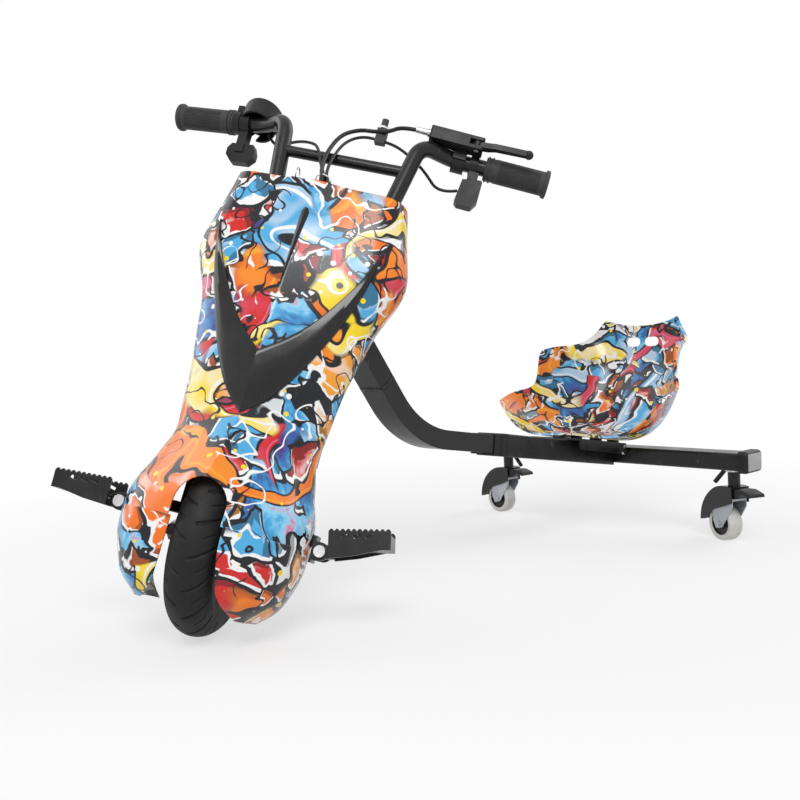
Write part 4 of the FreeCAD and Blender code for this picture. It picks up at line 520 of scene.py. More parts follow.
class SplashPrint:
    """Builds the splashed print's layers over each other, from the ground up to the spatter."""

    LIT_SHIFT: Triple = (-0.0020, 0.0, -0.0030)
    DEEP_SHIFT: Triple = (0.0030, 0.0, 0.0040)
    DEEP_EDGE: Pair = (0.20, 0.17)
    LIT_EDGE: Pair = (0.145, 0.125)
    DARK_EDGE: Pair = (0.115, 0.095)

    def __init__(self, inks: PrintInks) -> None:
        """Start the group and warp its place with slow and fast noise."""
        self.inks = inks
        self.tree, self.g, start, self.end = new_group("splashed_print", [("Vector", "Vector", 0)],
                                                       [("Color", "Color")])
        self.place = start.outputs["Vector"]
        self.slow = self.warp(self.place, 10.0, 0.085)
        self.warped = self.warp(self.slow, 55.0, 0.007)

    def warp(self, vector, scale: float, reach: float) -> bpy.types.NodeSocket:
        """Return the place moved by noise, up to half the reach in metres each way."""
        drift = self.g.vector("SUBTRACT", self.g.noise(vector, scale, 2.0, 0.55).outputs[1], (0.5, 0.5, 0.5))
        return self.g.vector("ADD", vector, self.g.vector("MULTIPLY", drift, (reach, reach, reach)))

    def ink(self, colour: Colour) -> tuple[float, float, float, float]:
        """Return the ink with full alpha."""
        return (*colour, 1.0)

    def shapes(self, under, scale: float, metric: str, seed: float, share: float):
        """Lay angular outlined shapes over what is there.

        The border is the distance to the second nearest cell point less that to the nearest. A cell shows where
        its random number passes the share. The border seen from a shifted place gives a lit rim on one side and
        a deep one on the other.
        """
        g = self.g
        moved = g.vector("ADD", self.warped, (seed, -seed, seed * 0.5))
        options = {"distance": metric}

        def border(vector):
            near = g.add("TexVoronoi", Vector=vector, Scale=scale, settings={"feature": "F1", **options})
            far = g.add("TexVoronoi", Vector=vector, Scale=scale, settings={"feature": "F2", **options})
            return near, g.maths("SUBTRACT", far.outputs["Distance"], near.outputs["Distance"])

        near, edge = border(moved)
        pick = g.add("SeparateColor", near.outputs["Color"])
        shown = g.maths("GREATER_THAN", pick.outputs[2], share)
        fill = g.ramp(pick.outputs[0], self.inks.fills(), True)
        deep_fill = g.mix(0.6, fill, self.ink(self.inks.dark))
        sweep = g.noise(moved, scale * 1.4, 2.0).outputs[0]
        fill = g.mix(g.fade(sweep, 0.50, 0.60), fill, g.mix(0.5, fill, self.ink(self.inks.white)))
        lit = border(g.vector("ADD", moved, self.LIT_SHIFT))[1]
        deep = border(g.vector("ADD", moved, self.DEEP_SHIFT))[1]
        fill = g.mix(g.fade(deep, *self.DEEP_EDGE), fill, deep_fill)
        fill = g.mix(g.fade(lit, *self.LIT_EDGE), fill, self.ink(self.inks.white))
        fill = g.mix(g.fade(edge, *self.DARK_EDGE), fill, self.ink(self.inks.dark))
        return g.mix(shown, under, fill)

    def stroke(self, under, seed: float, scale: float, half: float, inks: tuple[Colour, Colour], gate: float):
        """Lay a flowing stroke: a band where slow noise is near its middle value, with a dark outline.

        A thin line of the second ink runs along one side of the band, and a gate of slower noise ends it.
        """
        g = self.g
        moved = g.vector("ADD", self.slow, (seed, seed * 0.7, -seed))
        value = g.maths("SUBTRACT", g.noise(moved, scale, 1.0, 0.4).outputs[0], 0.5)
        band = g.maths("ABSOLUTE", value)
        open_gate = g.fade(g.noise(moved, 9.0, 1.0).outputs[0], gate, gate + 0.02)
        shade = g.fade(g.noise(moved, 26.0, 1.0).outputs[0], 0.42, 0.60)
        fill = g.mix(shade, self.ink(inks[0]), g.mix(0.45, self.ink(inks[0]), self.ink(inks[1])))
        line = g.maths("ABSOLUTE", g.maths("SUBTRACT", value, half * 0.5))
        fill = g.mix(g.fade(line, half * 0.17, half * 0.10), fill, self.ink(inks[1]))
        outer = g.maths("MULTIPLY", g.fade(band, half * 1.32, half * 1.24), open_gate)
        inner = g.maths("MULTIPLY", g.fade(band, half * 0.97, half * 0.90), open_gate)
        return g.mix(inner, g.mix(outer, under, self.ink(self.inks.dark)), fill)

    def scribble(self, under, seed: float, scale: float, colour: Colour, gate: float):
        """Lay thin pen lines: narrow contours of quick noise inside slow patches."""
        g = self.g
        moved = g.vector("ADD", self.place, (seed, -seed * 1.3, seed * 0.6))
        line = g.maths("ABSOLUTE", g.maths("SUBTRACT", g.noise(moved, scale, 1.0, 0.5).outputs[0], 0.5))
        patch = g.fade(g.noise(moved, 12.0, 1.0).outputs[0], gate, gate + 0.015)
        return g.mix(g.maths("MULTIPLY", g.fade(line, 0.020, 0.012), patch), under, self.ink(colour))

    def spatter(self, under):
        """Lay small round drops of white and yellow."""
        g = self.g
        drops = g.add("TexVoronoi", Vector=g.vector("ADD", self.place, (1.7, 0.4, 2.9)), Scale=85.0)
        pick = g.add("SeparateColor", drops.outputs["Color"])
        reach = g.fade(pick.outputs[0], 0.66, 1.0, 0.0, 0.32)
        tint = g.mix(g.maths("GREATER_THAN", pick.outputs[1], 0.5), self.ink(self.inks.white),
                     self.ink(self.inks.yellow))
        return g.mix(g.maths("LESS_THAN", drops.outputs["Distance"], reach), under, tint)

    def build(self) -> bpy.types.NodeTree:
        """Lay every layer and return the finished group."""
        inks = self.inks
        cloud = self.g.noise(self.slow, 17.0, 4.0, 0.68).outputs[0]
        colour = self.g.ramp(cloud, inks.ground(), False)
        colour = self.shapes(colour, 15.0, "MANHATTAN", 2.3, 0.30)
        colour = self.stroke(colour, 3.1, 7.0, 0.050, (inks.sky, inks.white), 0.50)
        colour = self.stroke(colour, 7.7, 7.5, 0.046, (inks.orange, inks.amber), 0.49)
        colour = self.shapes(colour, 27.0, "CHEBYCHEV", 5.9, 0.66)
        colour = self.stroke(colour, 5.2, 8.5, 0.042, (inks.red, inks.pink), 0.53)
        colour = self.stroke(colour, 9.4, 8.0, 0.040, (inks.yellow, inks.white), 0.55)
        colour = self.scribble(colour, 4.4, 30.0, inks.white, 0.55)
        colour = self.scribble(colour, 8.1, 34.0, inks.dark, 0.54)
        colour = self.spatter(colour)
        self.g.feed(self.end.inputs["Color"], colour)
        return self.tree


class Finishes:
    """The shared node groups and the materials of every slot."""

    def __init__(self) -> None:
        """Build the groups once."""
        self.grain = grain_group()
        self.scratches = scratch_group()
        self.dust = dust_group()
        self.print = SplashPrint(PrintInks()).build()
        self.made: dict[str, bpy.types.Material] = {}

    def place(self, graph: Graph, tree: bpy.types.NodeTree, vector, **named) -> bpy.types.Node:
        """Place a shared group in a material with its own values."""
        node = graph.add("Group", settings={"node_tree": tree})
        graph.feed(node.inputs["Vector"], vector)
        for key, value in named.items():
            graph.feed(node.inputs[key], value)
        return node


@dataclass(frozen=True)
class Finish:
    """One surface finish with its own wear."""

    name: str
    colour: Colour
    worn: Colour
    rough: Pair = (0.4, 0.5)
    metal: float = 0.0
    coat: float = 0.0
    coat_rough: float = 0.08
    specular: float = 0.5
    grain: float = 2500.0
    depth: float = 0.03
    scratch: float = 0.3
    dust: float = 0.1
    stretch: Triple = (1.0, 1.0, 1.0)

    def build(self, kit: Finishes) -> bpy.types.Material:
        """Build the material: patches shift colour and gloss, scratches and dust lie over them.

        Args:
            kit: the shared node groups.

        Returns:
            The finished material.
        """
        material = bpy.data.materials.new(self.name)
        material.use_nodes = True
        g = Graph(material.node_tree)
        shader = material.node_tree.nodes["Principled BSDF"]
        place = g.add("TexCoord").outputs["Object"]
        stretched = g.add("Mapping", place, Scale=self.stretch).outputs[0]
        grain = kit.place(g, kit.grain, stretched, Scale=self.grain)
        scratch = kit.place(g, kit.scratches, place, Amount=self.scratch).outputs[0]
        dust = kit.place(g, kit.dust, place, Amount=self.dust).outputs[0]
        colour = self.colouring(g, kit, place, grain)
        colour = g.mix(scratch, colour, (*self.worn, 1.0))
        colour = g.mix(dust, colour, DUST)
        rough = g.fade(grain.outputs["Patches"], 0.0, 1.0, self.rough[0], self.rough[1])
        rough = g.maths("ADD", rough, g.maths("MULTIPLY", g.maths("ADD", scratch, dust), WEAR_ROUGHENS))
        g.feed(shader.inputs["Base Color"], colour)
        g.feed(shader.inputs["Roughness"], rough)
        shader.inputs["Metallic"].default_value = self.metal
        shader.inputs["Coat Weight"].default_value = self.coat
        shader.inputs["Coat Roughness"].default_value = self.coat_rough
        shader.inputs["Specular IOR Level"].default_value = self.specular
        bump = g.add("Bump", Height=grain.outputs["Height"])
        bump.inputs["Strength"].default_value = BUMP_STRENGTH
        bump.inputs["Distance"].default_value = self.depth * MM
        g.feed(shader.inputs["Normal"], bump.outputs[0])
        return material

    def colouring(self, g: Graph, kit: Finishes, place, grain: bpy.types.Node) -> bpy.types.NodeSocket:
        """Return the colour under the wear: the base, a little lighter and darker in slow patches."""
        light = tuple(min(1.0, c * 1.18 + 0.003) for c in self.colour)
        dark = tuple(c * 0.86 for c in self.colour)
        return g.mix(grain.outputs["Patches"], (*dark, 1.0), (*light, 1.0))


@dataclass(frozen=True)
class PrintedFinish(Finish):
    """The glossy splashed print."""

    def colouring(self, g: Graph, kit: Finishes, place, grain: bpy.types.Node) -> bpy.types.NodeSocket:
        """Return the print's colour."""
        return kit.place(g, kit.print, place).outputs["Color"]


FINISHES: dict[Slot, Finish] = {
    Slot.PRINT: PrintedFinish("splashed_shell", (0.1, 0.4, 0.7), (0.7, 0.7, 0.7), rough=(0.20, 0.32), coat=0.22,
                              coat_rough=0.06, specular=0.32, grain=900.0, depth=0.012, scratch=0.10, dust=0.03),
    Slot.GLOSS: Finish("piano_black", (0.005, 0.005, 0.0055), (0.10, 0.10, 0.10), rough=(0.15, 0.24), coat=0.15,
                       coat_rough=0.05, specular=0.34, grain=700.0, depth=0.010, scratch=0.22, dust=0.03),
    Slot.PLASTIC: Finish("moulded_black", (0.010, 0.010, 0.0105), (0.08, 0.08, 0.08), rough=(0.34, 0.50),
                         specular=0.26, grain=2600.0, depth=0.05, scratch=0.22, dust=0.05),
    Slot.STEEL: Finish("satin_black_paint", (0.008, 0.008, 0.0085), (0.24, 0.24, 0.24), rough=(0.24, 0.38),
                       coat=0.10, coat_rough=0.18, specular=0.30, grain=1800.0, depth=0.04, scratch=0.28,
                       dust=0.05),
    Slot.RUBBER: Finish("grip_rubber", (0.045, 0.045, 0.047), (0.11, 0.11, 0.11), rough=(0.50, 0.68),
                        specular=0.24, grain=3200.0, depth=0.06, scratch=0.12, dust=0.08),
    Slot.TYRE: Finish("tyre_rubber", (0.011, 0.011, 0.0115), (0.08, 0.075, 0.07), rough=(0.52, 0.72),
                      specular=0.24, grain=2200.0, depth=0.07, scratch=0.30, dust=0.10),
    Slot.BRIGHT: Finish("plated_steel", (0.56, 0.56, 0.57), (0.85, 0.85, 0.85), rough=(0.16, 0.34), metal=1.0,
                        grain=1800.0, depth=0.02, scratch=0.4, dust=0.04, stretch=(0.15, 1.0, 1.0)),
    Slot.ALLOY: Finish("cast_alloy", (0.42, 0.43, 0.44), (0.7, 0.7, 0.7), rough=(0.34, 0.52), metal=1.0,
                       grain=1500.0, depth=0.06, scratch=0.4, dust=0.08),
    Slot.TREAD: Finish("pale_tread", (0.62, 0.61, 0.58), (0.36, 0.34, 0.31), rough=(0.34, 0.50), specular=0.35,
                       grain=1400.0, depth=0.03, scratch=0.5, dust=0.05),
    Slot.WRAP: Finish("shrink_wrap", (0.03, 0.06, 0.24), (0.3, 0.3, 0.4), rough=(0.22, 0.34), coat=0.3,
                      grain=600.0, depth=0.08, scratch=0.2, dust=0.05),
    Slot.IRON: Finish("stator_laminations", (0.28, 0.15, 0.07), (0.5, 0.4, 0.3), rough=(0.4, 0.6), metal=0.7,
                      grain=900.0, depth=0.08, scratch=0.2, dust=0.05, stretch=(14.0, 1.0, 1.0)),
}

CABLE_SKIN = Finish("cable_sheath", (0.008, 0.008, 0.0085), (0.08, 0.08, 0.08), rough=(0.34, 0.48), specular=0.3,
                    grain=1600.0, depth=0.02, scratch=0.15, dust=0.04)
# Pale grey laid on the black end caps' outer faces: a painted reflection of the bright room, not the caps' own
# colour.
CAP_PAINTED_REFLECTION = Finish("cap_painted_reflection", (0.36, 0.36, 0.36), (0.2, 0.2, 0.2), rough=(0.4, 0.55), grain=2200.0, scratch=0.3)
NYLON_WHITE = Finish("nylon_tie", (0.80, 0.80, 0.78), (0.5, 0.5, 0.5), rough=(0.35, 0.5), grain=1200.0,
                     scratch=0.1)
CORE_BLACK = Finish("wheel_core", (0.009, 0.009, 0.010), (0.10, 0.10, 0.10), rough=(0.30, 0.42), specular=0.3,
                    grain=1500.0)
WELD = Finish("painted_weld", (0.009, 0.009, 0.0095), (0.2, 0.2, 0.2), rough=(0.30, 0.46), specular=0.3, coat=0.1,
              grain=900.0, depth=0.12)
PLATE_GREY = Finish("zinc_plate", (0.40, 0.42, 0.46), (0.7, 0.7, 0.7), rough=(0.34, 0.5), metal=0.55,
                    grain=1500.0, depth=0.03, scratch=0.35, dust=0.05)


class Workshop:
    """The loaded frame with the finishes, and the steps that every sub-assembly shares."""

    def __init__(self, frame: dict) -> None:
        """Keep the frame and work out its two places.
        """
        self.nodes = frame["nodes"]
        self.kit = Finishes()
        record = frame["record"]
        self.body_of = {n: b for b, names in record["behaviour"]["bodies"].items() for n in names}
        self.slot_of = {row["node"]: row["material_slot"] for row in record["subparts"]}
        joints = {j["name"]: j for j in frame["joints"]}
        axle = np.array(joints["front_wheel_spin"]["pos_m"], float)
        self.steering = Place(turn_x(-RAKE) @ turn_z(STEER_TURN), axle)
        self.vehicle = Place(np.eye(3), np.array([axle[0], axle[1], 0.0]))

    def material(self, finish: Finish) -> bpy.types.Material:
        """Return the finish's material, built at its first use."""
        if finish.name not in self.kit.made:
            self.kit.made[finish.name] = finish.build(self.kit)
        return self.kit.made[finish.name]

    def seat_piece(self, item: bpy.types.Object, body: str, slot: Slot, finish: Optional[Finish] = None,
                   replaces: Sequence[str] = ()) -> bpy.types.Object:
        """Dress a piece and let it ride on its body.

        Args:
            item: the new piece.
            body: the body that carries it.
            slot: the record's slot that its finish belongs to.
            finish: its finish, the slot's own where none is given.
            replaces: the nodes that it stands for.

        Returns:
            The same piece.
        """
        item.data.materials.clear()
        item.data.materials.append(self.material(finish or FINISHES[slot]))
        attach(item, body)
        if replaces:
            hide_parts(*replaces)
        LOG.info("%s rides on %s", item.name, body)
        return item

    def refine(self, node: str, width: float, angle: float = 32.0, finish: Optional[Finish] = None,
               steps: int = 2) -> bpy.types.Object:
        """Stand a copy of a node in its place, with merged faces and rounded edges.

        Args:
            node: the node's name.
            width: size of the rounding in millimetres.
            angle: least angle of an edge that is rounded.
            finish: its finish, the slot's own where none is given.
            steps: faces across the rounding.

        Returns:
            The new piece.
        """
        mesh = self.nodes[node].data.copy()
        work = bmesh.new()
        work.from_mesh(mesh)
        bmesh.ops.remove_doubles(work, verts=work.verts, dist=1e-6)
        bmesh.ops.dissolve_limit(work, angle_limit=math.radians(0.6), verts=work.verts, edges=work.edges)
        work.to_mesh(mesh)
        work.free()
        if "custom_normal" in mesh.attributes:
            mesh.attributes.remove(mesh.attributes["custom_normal"])
        shade(mesh, angle)
        item = link(node + "_finished", mesh)
        if width > 0:
            round_edges(item, width, angle, steps)
        slot = Slot(self.slot_of[node])
        return self.seat_piece(item, self.body_of[node], slot, finish, [node])

    def second_finish(self, item: bpy.types.Object, finish: Finish, chosen: np.ndarray) -> None:
        """Give some of a piece's faces another finish, the rounding keeping the first.

        Args:
            item: a finished piece.
            finish: the other finish.
            chosen: for each face, whether it gets the other finish.
        """
        item.data.materials.append(self.material(finish))
        item.data.polygons.foreach_set("material_index", chosen.astype(np.int32))
        for change in item.modifiers:
            if change.type == "BEVEL":
                change.material = 0

    def dress_nodes(self) -> None:
        """Put the slot's finish on every node that stays as it is."""
        for name, item in self.nodes.items():
            item.data.materials.clear()
            item.data.materials.append(self.material(FINISHES[Slot(self.slot_of[name])]))


# Sub-assemblies

@dataclass
class FrontWheel:
    """The front tyre with its moulded tread, and the hub behind it."""

    radius: float = 100.0
    tube: float = 24.8
    rim: float = 62.0
    blocks: int = 18
    depth: float = 2.0
    fade: float = 0.6
    lead: float = 0.25
    curl: Pair = (0.95, 1.35)
    groove: float = 1.5
    band: Pair = (0.03, 0.66)
    band_fade: Pair = (0.04, 0.05)
    short_groove: float = 0.9
    short_band: Pair = (0.22, 0.52)
    short_fade: Pair = (0.04, 0.04)
    short_depth: float = 0.6
    wall_lines: tuple[Pair, ...] = ((0.35, 0.80), (0.3, 0.90))
    line_width: float = 0.012
    turns: int = 720
    across: int = 61

    def tread_depth(self, turn: np.ndarray, side: np.ndarray) -> np.ndarray:
        """Return how deep the tread is cut.

        The chevron's phase is the turn in block pitches plus a bend that grows with the distance from the
        middle. A groove lies where the phase's distance to a whole number, in millimetres, is under its half
        width. Its edges fade over 0.6 mm, and it stays inside a band on each side of the tread. Short shallow
        grooves lie half a pitch from the main ones.

        Args:
            turn: angle round the wheel.
            side: place across the tread, from -1 to 1.

        Returns:
            The depth in millimetres, for each turn and place.
        """
        pitch = 2 * math.pi * self.radius / self.blocks
        away = np.abs(side)
        offset = np.where(side > 0, self.lead, -self.lead)
        phase = turn * self.blocks / (2 * math.pi) - offset + self.curl[0] * away ** self.curl[1]

        def grooves(shift: float, half: float, band: Pair, soft: Pair) -> np.ndarray:
            """Return the mask of the grooves that lie a shift from the whole phases."""
            near = phase + shift
            gap = np.abs(near - np.round(near)) * pitch
            inside = np.clip((away - band[0]) / soft[0], 0, 1) * np.clip((band[1] - away) / soft[1], 0, 1)
            return np.clip((half - gap) / self.fade + 0.5, 0, 1) * inside

        main = grooves(0.0, self.groove, self.band, self.band_fade)
        short = grooves(0.5, self.short_groove, self.short_band, self.short_fade)
        return self.depth * np.maximum(main, self.short_depth * short)

    def build(self, shop: Workshop) -> None:
        """Build the tyre and finish the hub's pieces."""
        centre = self.radius - self.tube
        foot = math.asin((self.rim - centre) / self.tube)
        angle = np.linspace(foot, math.pi - foot, self.across)
        side = (angle - math.pi / 2) / (math.pi / 2 - foot)
        turn = np.linspace(0, 2 * math.pi, self.turns, endpoint=False)[:, None]
        inset = self.tread_depth(turn, side[None, :])
        lines = sum(cut_in * np.exp(-((np.abs(side) - at) / self.line_width) ** 2) for cut_in, at in self.wall_lines)
        tube = self.tube - inset - lines[None, :]
        along = tube * np.cos(angle)[None, :]
        radii = centre + tube * np.sin(angle)[None, :]
        points = np.stack([along, radii * np.cos(turn), radii * np.sin(turn)], axis=2)
        points = np.concatenate([points, points[:1]], axis=0)
        faces = grid_faces(self.turns + 1, self.across, True)
        tyre = make_object("tyre_moulded", shop.steering.metres(points), faces, 40.0)
        shop.seat_piece(tyre, "front_wheel", Slot.TYRE, replaces=["tyre"])
        for node, width in (("hub_drum", 0.6), ("hub_covers", 0.5), ("axle_nuts", 0.5), ("front_axle", 0.3)):
            shop.refine(node, width)


@dataclass
class Fairing:
    """The printed prow in front of the fork, its wheel covers, and the raised black trim."""

    wall: float = 2.6
    stations: tuple[float, ...] = (12, 40, 62, 80, 100, 130, 165, 200, 230, 259, 290, 318, 350, 380, 411)
    half: tuple[Pair, ...] = ((12, 97), (40, 96), (62, 89), (100, 80), (148, 83), (200, 90), (259, 100),
                              (290, 112), (318, 121), (350, 116), (380, 108), (411, 101))
    ridge: tuple[Pair, ...] = ((12, 112), (40, 108), (62, 99), (100, 74), (130, 60), (200, 60), (276, 54),
                               (345, 44), (411, 33))
    corner: tuple[Pair, ...] = ((12, 52), (40, 46), (62, 36), (100, 20), (148, 14), (411, 12))
    rear: tuple[Pair, ...] = ((12, -12), (190, -12), (250, -32), (411, -36))
    upper: tuple[Pair, ...] = ((0, 199), (17, 214), (38, 236), (60, 268), (81, 307), (95, 345))
    lower: tuple[Pair, ...] = ((0, 130), (21, 150), (45, 187), (65, 231), (87, 295), (96, 343))
    needle: tuple[Pair, ...] = ((276, 0.2), (300, 1.3), (340, 3.1), (368, 4.6), (372.5, 2.5))
    proud: float = 4.9
    key_head: float = 418.4
    shoulder: Pair = (0.52, 0.38)
    cheek: Pair = (0.93, 4.0)
    cheek_inset: float = 0.3
    flank_drop: float = 12.0
    tail: float = 0.97
    columns: int = 60
    rows: int = 150
    table_rows: int = 200
    table_steps: int = 160
    crown: tuple[Pair, ...] = ((0.0, 0.06), (0.0, 0.45), (0.05, 0.66), (0.12, 0.74), (0.3, 0.86), (0.5, 1.0),
                               (0.7, 0.86), (0.88, 0.74), (0.95, 0.66), (1.0, 0.45), (1.0, 0.06))
    back_points: int = 9
    back_lift: float = 0.06
    arch: Pair = (27.0, 28.0)
    arch_cut: Pair = (-140.0, -20.0)
    window: tuple[Pair, Pair] = ((-18.2, 2.2), (16.8, 31.2))
    window_reach: Pair = (49.5, 104.0)
    cover_rows: int = 40
    cover_columns: int = 64
    cover_stations: tuple[float, ...] = (-72, -60, -40, -12, 12)
    cover_side: tuple[Pair, ...] = ((-72, 62), (-60, 76), (-40, 88), (-12, 96), (12, 97))
    cover_inner: tuple[Pair, ...] = ((-72, 50), (-60, 38), (-40, 31), (-12, 27.5), (12, 27))
    cover_front: tuple[Pair, ...] = ((-72, 44), (-60, 66), (-40, 80), (-12, 90), (12, 92))
    cover_back: tuple[Pair, ...] = ((-72, -14), (-60, -24), (-40, -34), (-12, -40), (12, -42))

    def section(self, height: float, inset: float, count: int) -> np.ndarray:
        """Return points round the +x half of the section at a height, from the ridge to the rear edge."""
        place = np.array([height])
        half = table(self.half, place)[0] - inset
        ridge = table(self.ridge, place)[0] - inset
        corner = table(self.corner, place)[0]
        rear = table(self.rear, place)[0]
        shoulder = ridge - (ridge - corner) * self.shoulder[1]
        cheek = corner + self.cheek[1] - inset * self.cheek_inset
        line = np.array([(0.0, ridge), (half * self.shoulder[0], shoulder), (half * self.cheek[0], cheek),
                         (half, corner - self.flank_drop), (half * self.tail, rear)])
        line = smooth_line(line, count)
        return np.column_stack([line[:, 0], -line[:, 1]])

    def skin(self, inset: float, count: int, rows: int) -> np.ndarray:
        """Return the whole prow as a grid (height, across, xyz): sections joined by splines up the axis."""
        sections = np.stack([self.section(z, inset, count) for z in self.stations])
        heights = np.linspace(self.stations[0], self.stations[-1], rows)
        grid = natural_spline(np.array(self.stations), sections, heights)
        mirrored = grid[:, :0:-1] * np.array([-1.0, 1.0])
        both = np.concatenate([mirrored, grid], axis=1)
        level = np.broadcast_to(heights[:, None, None], both.shape[:2] + (1,))
        return np.concatenate([both, level], axis=2)

    def front(self, x: np.ndarray, z: np.ndarray) -> np.ndarray:
        """Return y of the prow's outside over points (x, z), from a table of rows and columns.

        Each row of the skin gives y over even steps of x, and the value is blended between the four nearest
        table entries.
        """
        grid = self.skin(0.0, self.columns, self.table_rows)[:, self.columns - 1:]
        steps = np.linspace(0, 1, self.table_steps)
        rows = []
        for row in grid:
            widest = np.argmax(row[:, 0]) + 1
            rows.append(np.interp(steps * row[widest - 1, 0], row[:widest, 0], row[:widest, 1]))
        sheet = np.array(rows)
        reach = grid[..., 0].max(axis=1)
        level = np.clip((z - self.stations[0]) / (self.stations[-1] - self.stations[0]), 0, 1) * (len(sheet) - 1)
        low = np.minimum(level.astype(int), len(sheet) - 2)
        part = level - low
        width = reach[low] * (1 - part) + reach[low + 1] * part
        column = np.clip(np.abs(x) / width, 0, 1) * (len(steps) - 1)
        left = np.minimum(column.astype(int), len(steps) - 2)
        side = column - left
        first = sheet[low, left] * (1 - side) + sheet[low, left + 1] * side
        second = sheet[low + 1, left] * (1 - side) + sheet[low + 1, left + 1] * side
        return first * (1 - part) + second * part

    def strip(self, name: str, low: np.ndarray, high: np.ndarray, proud: float, shop: Workshop) -> bpy.types.Object:
        """Return a raised strip on the prow between two edge lines of (x, z) points.

        Across the strip the height above the prow rises steeply to a shoulder, then gently to a crease in the
        middle. Its back lies just outside the prow's skin.
        """
        back = [(share, self.back_lift) for share in np.linspace(0.95, 0.05, self.back_points)]
        share, lift = np.array([*self.crown, *back]).T
        spot = low[:, None, :] * (1 - share[None, :, None]) + high[:, None, :] * share[None, :, None]
        y = self.front(spot[..., 0], spot[..., 1]) - proud * lift[None, :]
        rings = np.stack([spot[..., 0], y, spot[..., 1]], axis=2)
        return closed_tube(name, shop.steering.metres(rings), 22.0)

    def trim(self, shop: Workshop) -> None:
        """Build the V and the needle."""
        low = smooth_line(np.array(self.lower, float), 70)
        high = smooth_line(np.array(self.upper, float), 70)
        vee = self.strip("front_vee", both_sides(low), both_sides(high), self.proud, shop)
        shop.seat_piece(vee, "steering", Slot.GLOSS, replaces=["front_trim"])
        rows = np.array(self.needle, float)
        levels = np.linspace(rows[0, 0], rows[-1, 0], 60)
        halves = np.interp(levels, rows[:, 0], rows[:, 1])
        needle = self.strip("front_needle", np.column_stack([-halves, levels]), np.column_stack([halves, levels]),
                            self.proud * 0.6, shop)
        shop.seat_piece(needle, "steering", Slot.GLOSS)

    def arch_cutters(self, shop: Workshop) -> list[bpy.types.Object]:
        """Return the wheel arch's cutter and the windows for the two peg arms."""
        turn = np.linspace(0, math.pi, 40)
        half, centre = self.arch
        arch = np.column_stack([half * np.cos(turn), centre + half * np.sin(turn)])
        arch = np.vstack([arch, [(-half, 0), (half, 0)]])
        cutters = [prism("arch", arch, *self.arch_cut, shop.steering, 1)]
        (rear, front), (low, high) = self.window
        window = np.array([(rear, low), (front, low), (front, high), (rear, high)])
        near, far = self.window_reach
        for ends in ((near, far), (-far, -near)):
            cutters.append(prism("window", window, *ends, shop.steering, 0))
        return cutters

    def cover_line(self, height: float, count: int) -> tuple[np.ndarray, np.ndarray]:
        """Return the outer and inner lines of the +x wheel cover at a height, from front to back."""
        place = np.array([height])
        side, inner, front, back = (table(rows, place)[0] for rows in
                                    (self.cover_side, self.cover_inner, self.cover_front, self.cover_back))
        span = side - inner
        wall = self.wall
        outer = [(inner, front), (inner + span * 0.55, front * 0.93), (side - 2, front * 0.5), (side, 0),
                 (side - 10, back)]
        inside = [(inner, front - wall), (inner + span * 0.5, front * 0.93 - wall),
                  (side - 2 - wall, front * 0.5 - 1), (side - wall, 0), (side - 10 - wall, back)]
        flip = np.array([1.0, -1.0])
        return smooth_line(np.array(outer) * flip, count), smooth_line(np.array(inside) * flip, count)

    def covers(self, shop: Workshop) -> None:
        """Build the two wheel covers as walls through their sections."""
        heights = np.linspace(self.cover_stations[0], self.cover_stations[-1], self.cover_rows)
        walls = []
        for layer in (0, 1):
            lines = np.stack([self.cover_line(z, self.cover_columns)[layer] for z in self.cover_stations])
            grid = natural_spline(np.array(self.cover_stations), lines, heights)
            level = np.broadcast_to(heights[:, None, None], grid.shape[:2] + (1,))
            walls.append(np.concatenate([grid, level], axis=2))
        for name, side in (("left", 1.0), ("right", -1.0)):
            flip = np.array([side, 1.0, 1.0])
            outer, inner = (shop.steering.metres(w * flip) for w in walls)
            cover = thick_wall("wheel_cover_" + name, outer, inner)
            round_edges(cover, 0.8, 50.0)
            shop.seat_piece(cover, "steering", Slot.PRINT, replaces=["wheel_covers"])

    def build(self, shop: Workshop) -> None:
        """Build the prow, cut its arch and windows, and add covers, trim and the plain black pieces."""
        outer, inner = (shop.steering.metres(self.skin(inset, self.columns, self.rows)) for inset in (0.0, self.wall))
        prow = thick_wall("printed_prow", outer, inner)
        cut(prow, self.arch_cutters(shop))
        shade(prow.data, 40.0)
        round_edges(prow, 0.8, 50.0)
        shop.seat_piece(prow, "steering", Slot.PRINT, replaces=["fairing_shell"])
        self.covers(shop)
        self.trim(shop)
        for node, width in (("dash_lid", 0.8), ("rear_cover_upper", 0.9), ("rear_cover_lower", 0.9),
                            ("ignition_lock", 0.5), ("fork", 0.8), ("top_yoke", 0.7)):
            shop.refine(node, width)
        key = shop.refine("ignition_key", 0.3)
        height = (face_facts(key)[0] - shop.steering.origin) @ shop.steering.axes[:, 2]
        shop.second_finish(key, FINISHES[Slot.BRIGHT], height > self.key_head * MM)


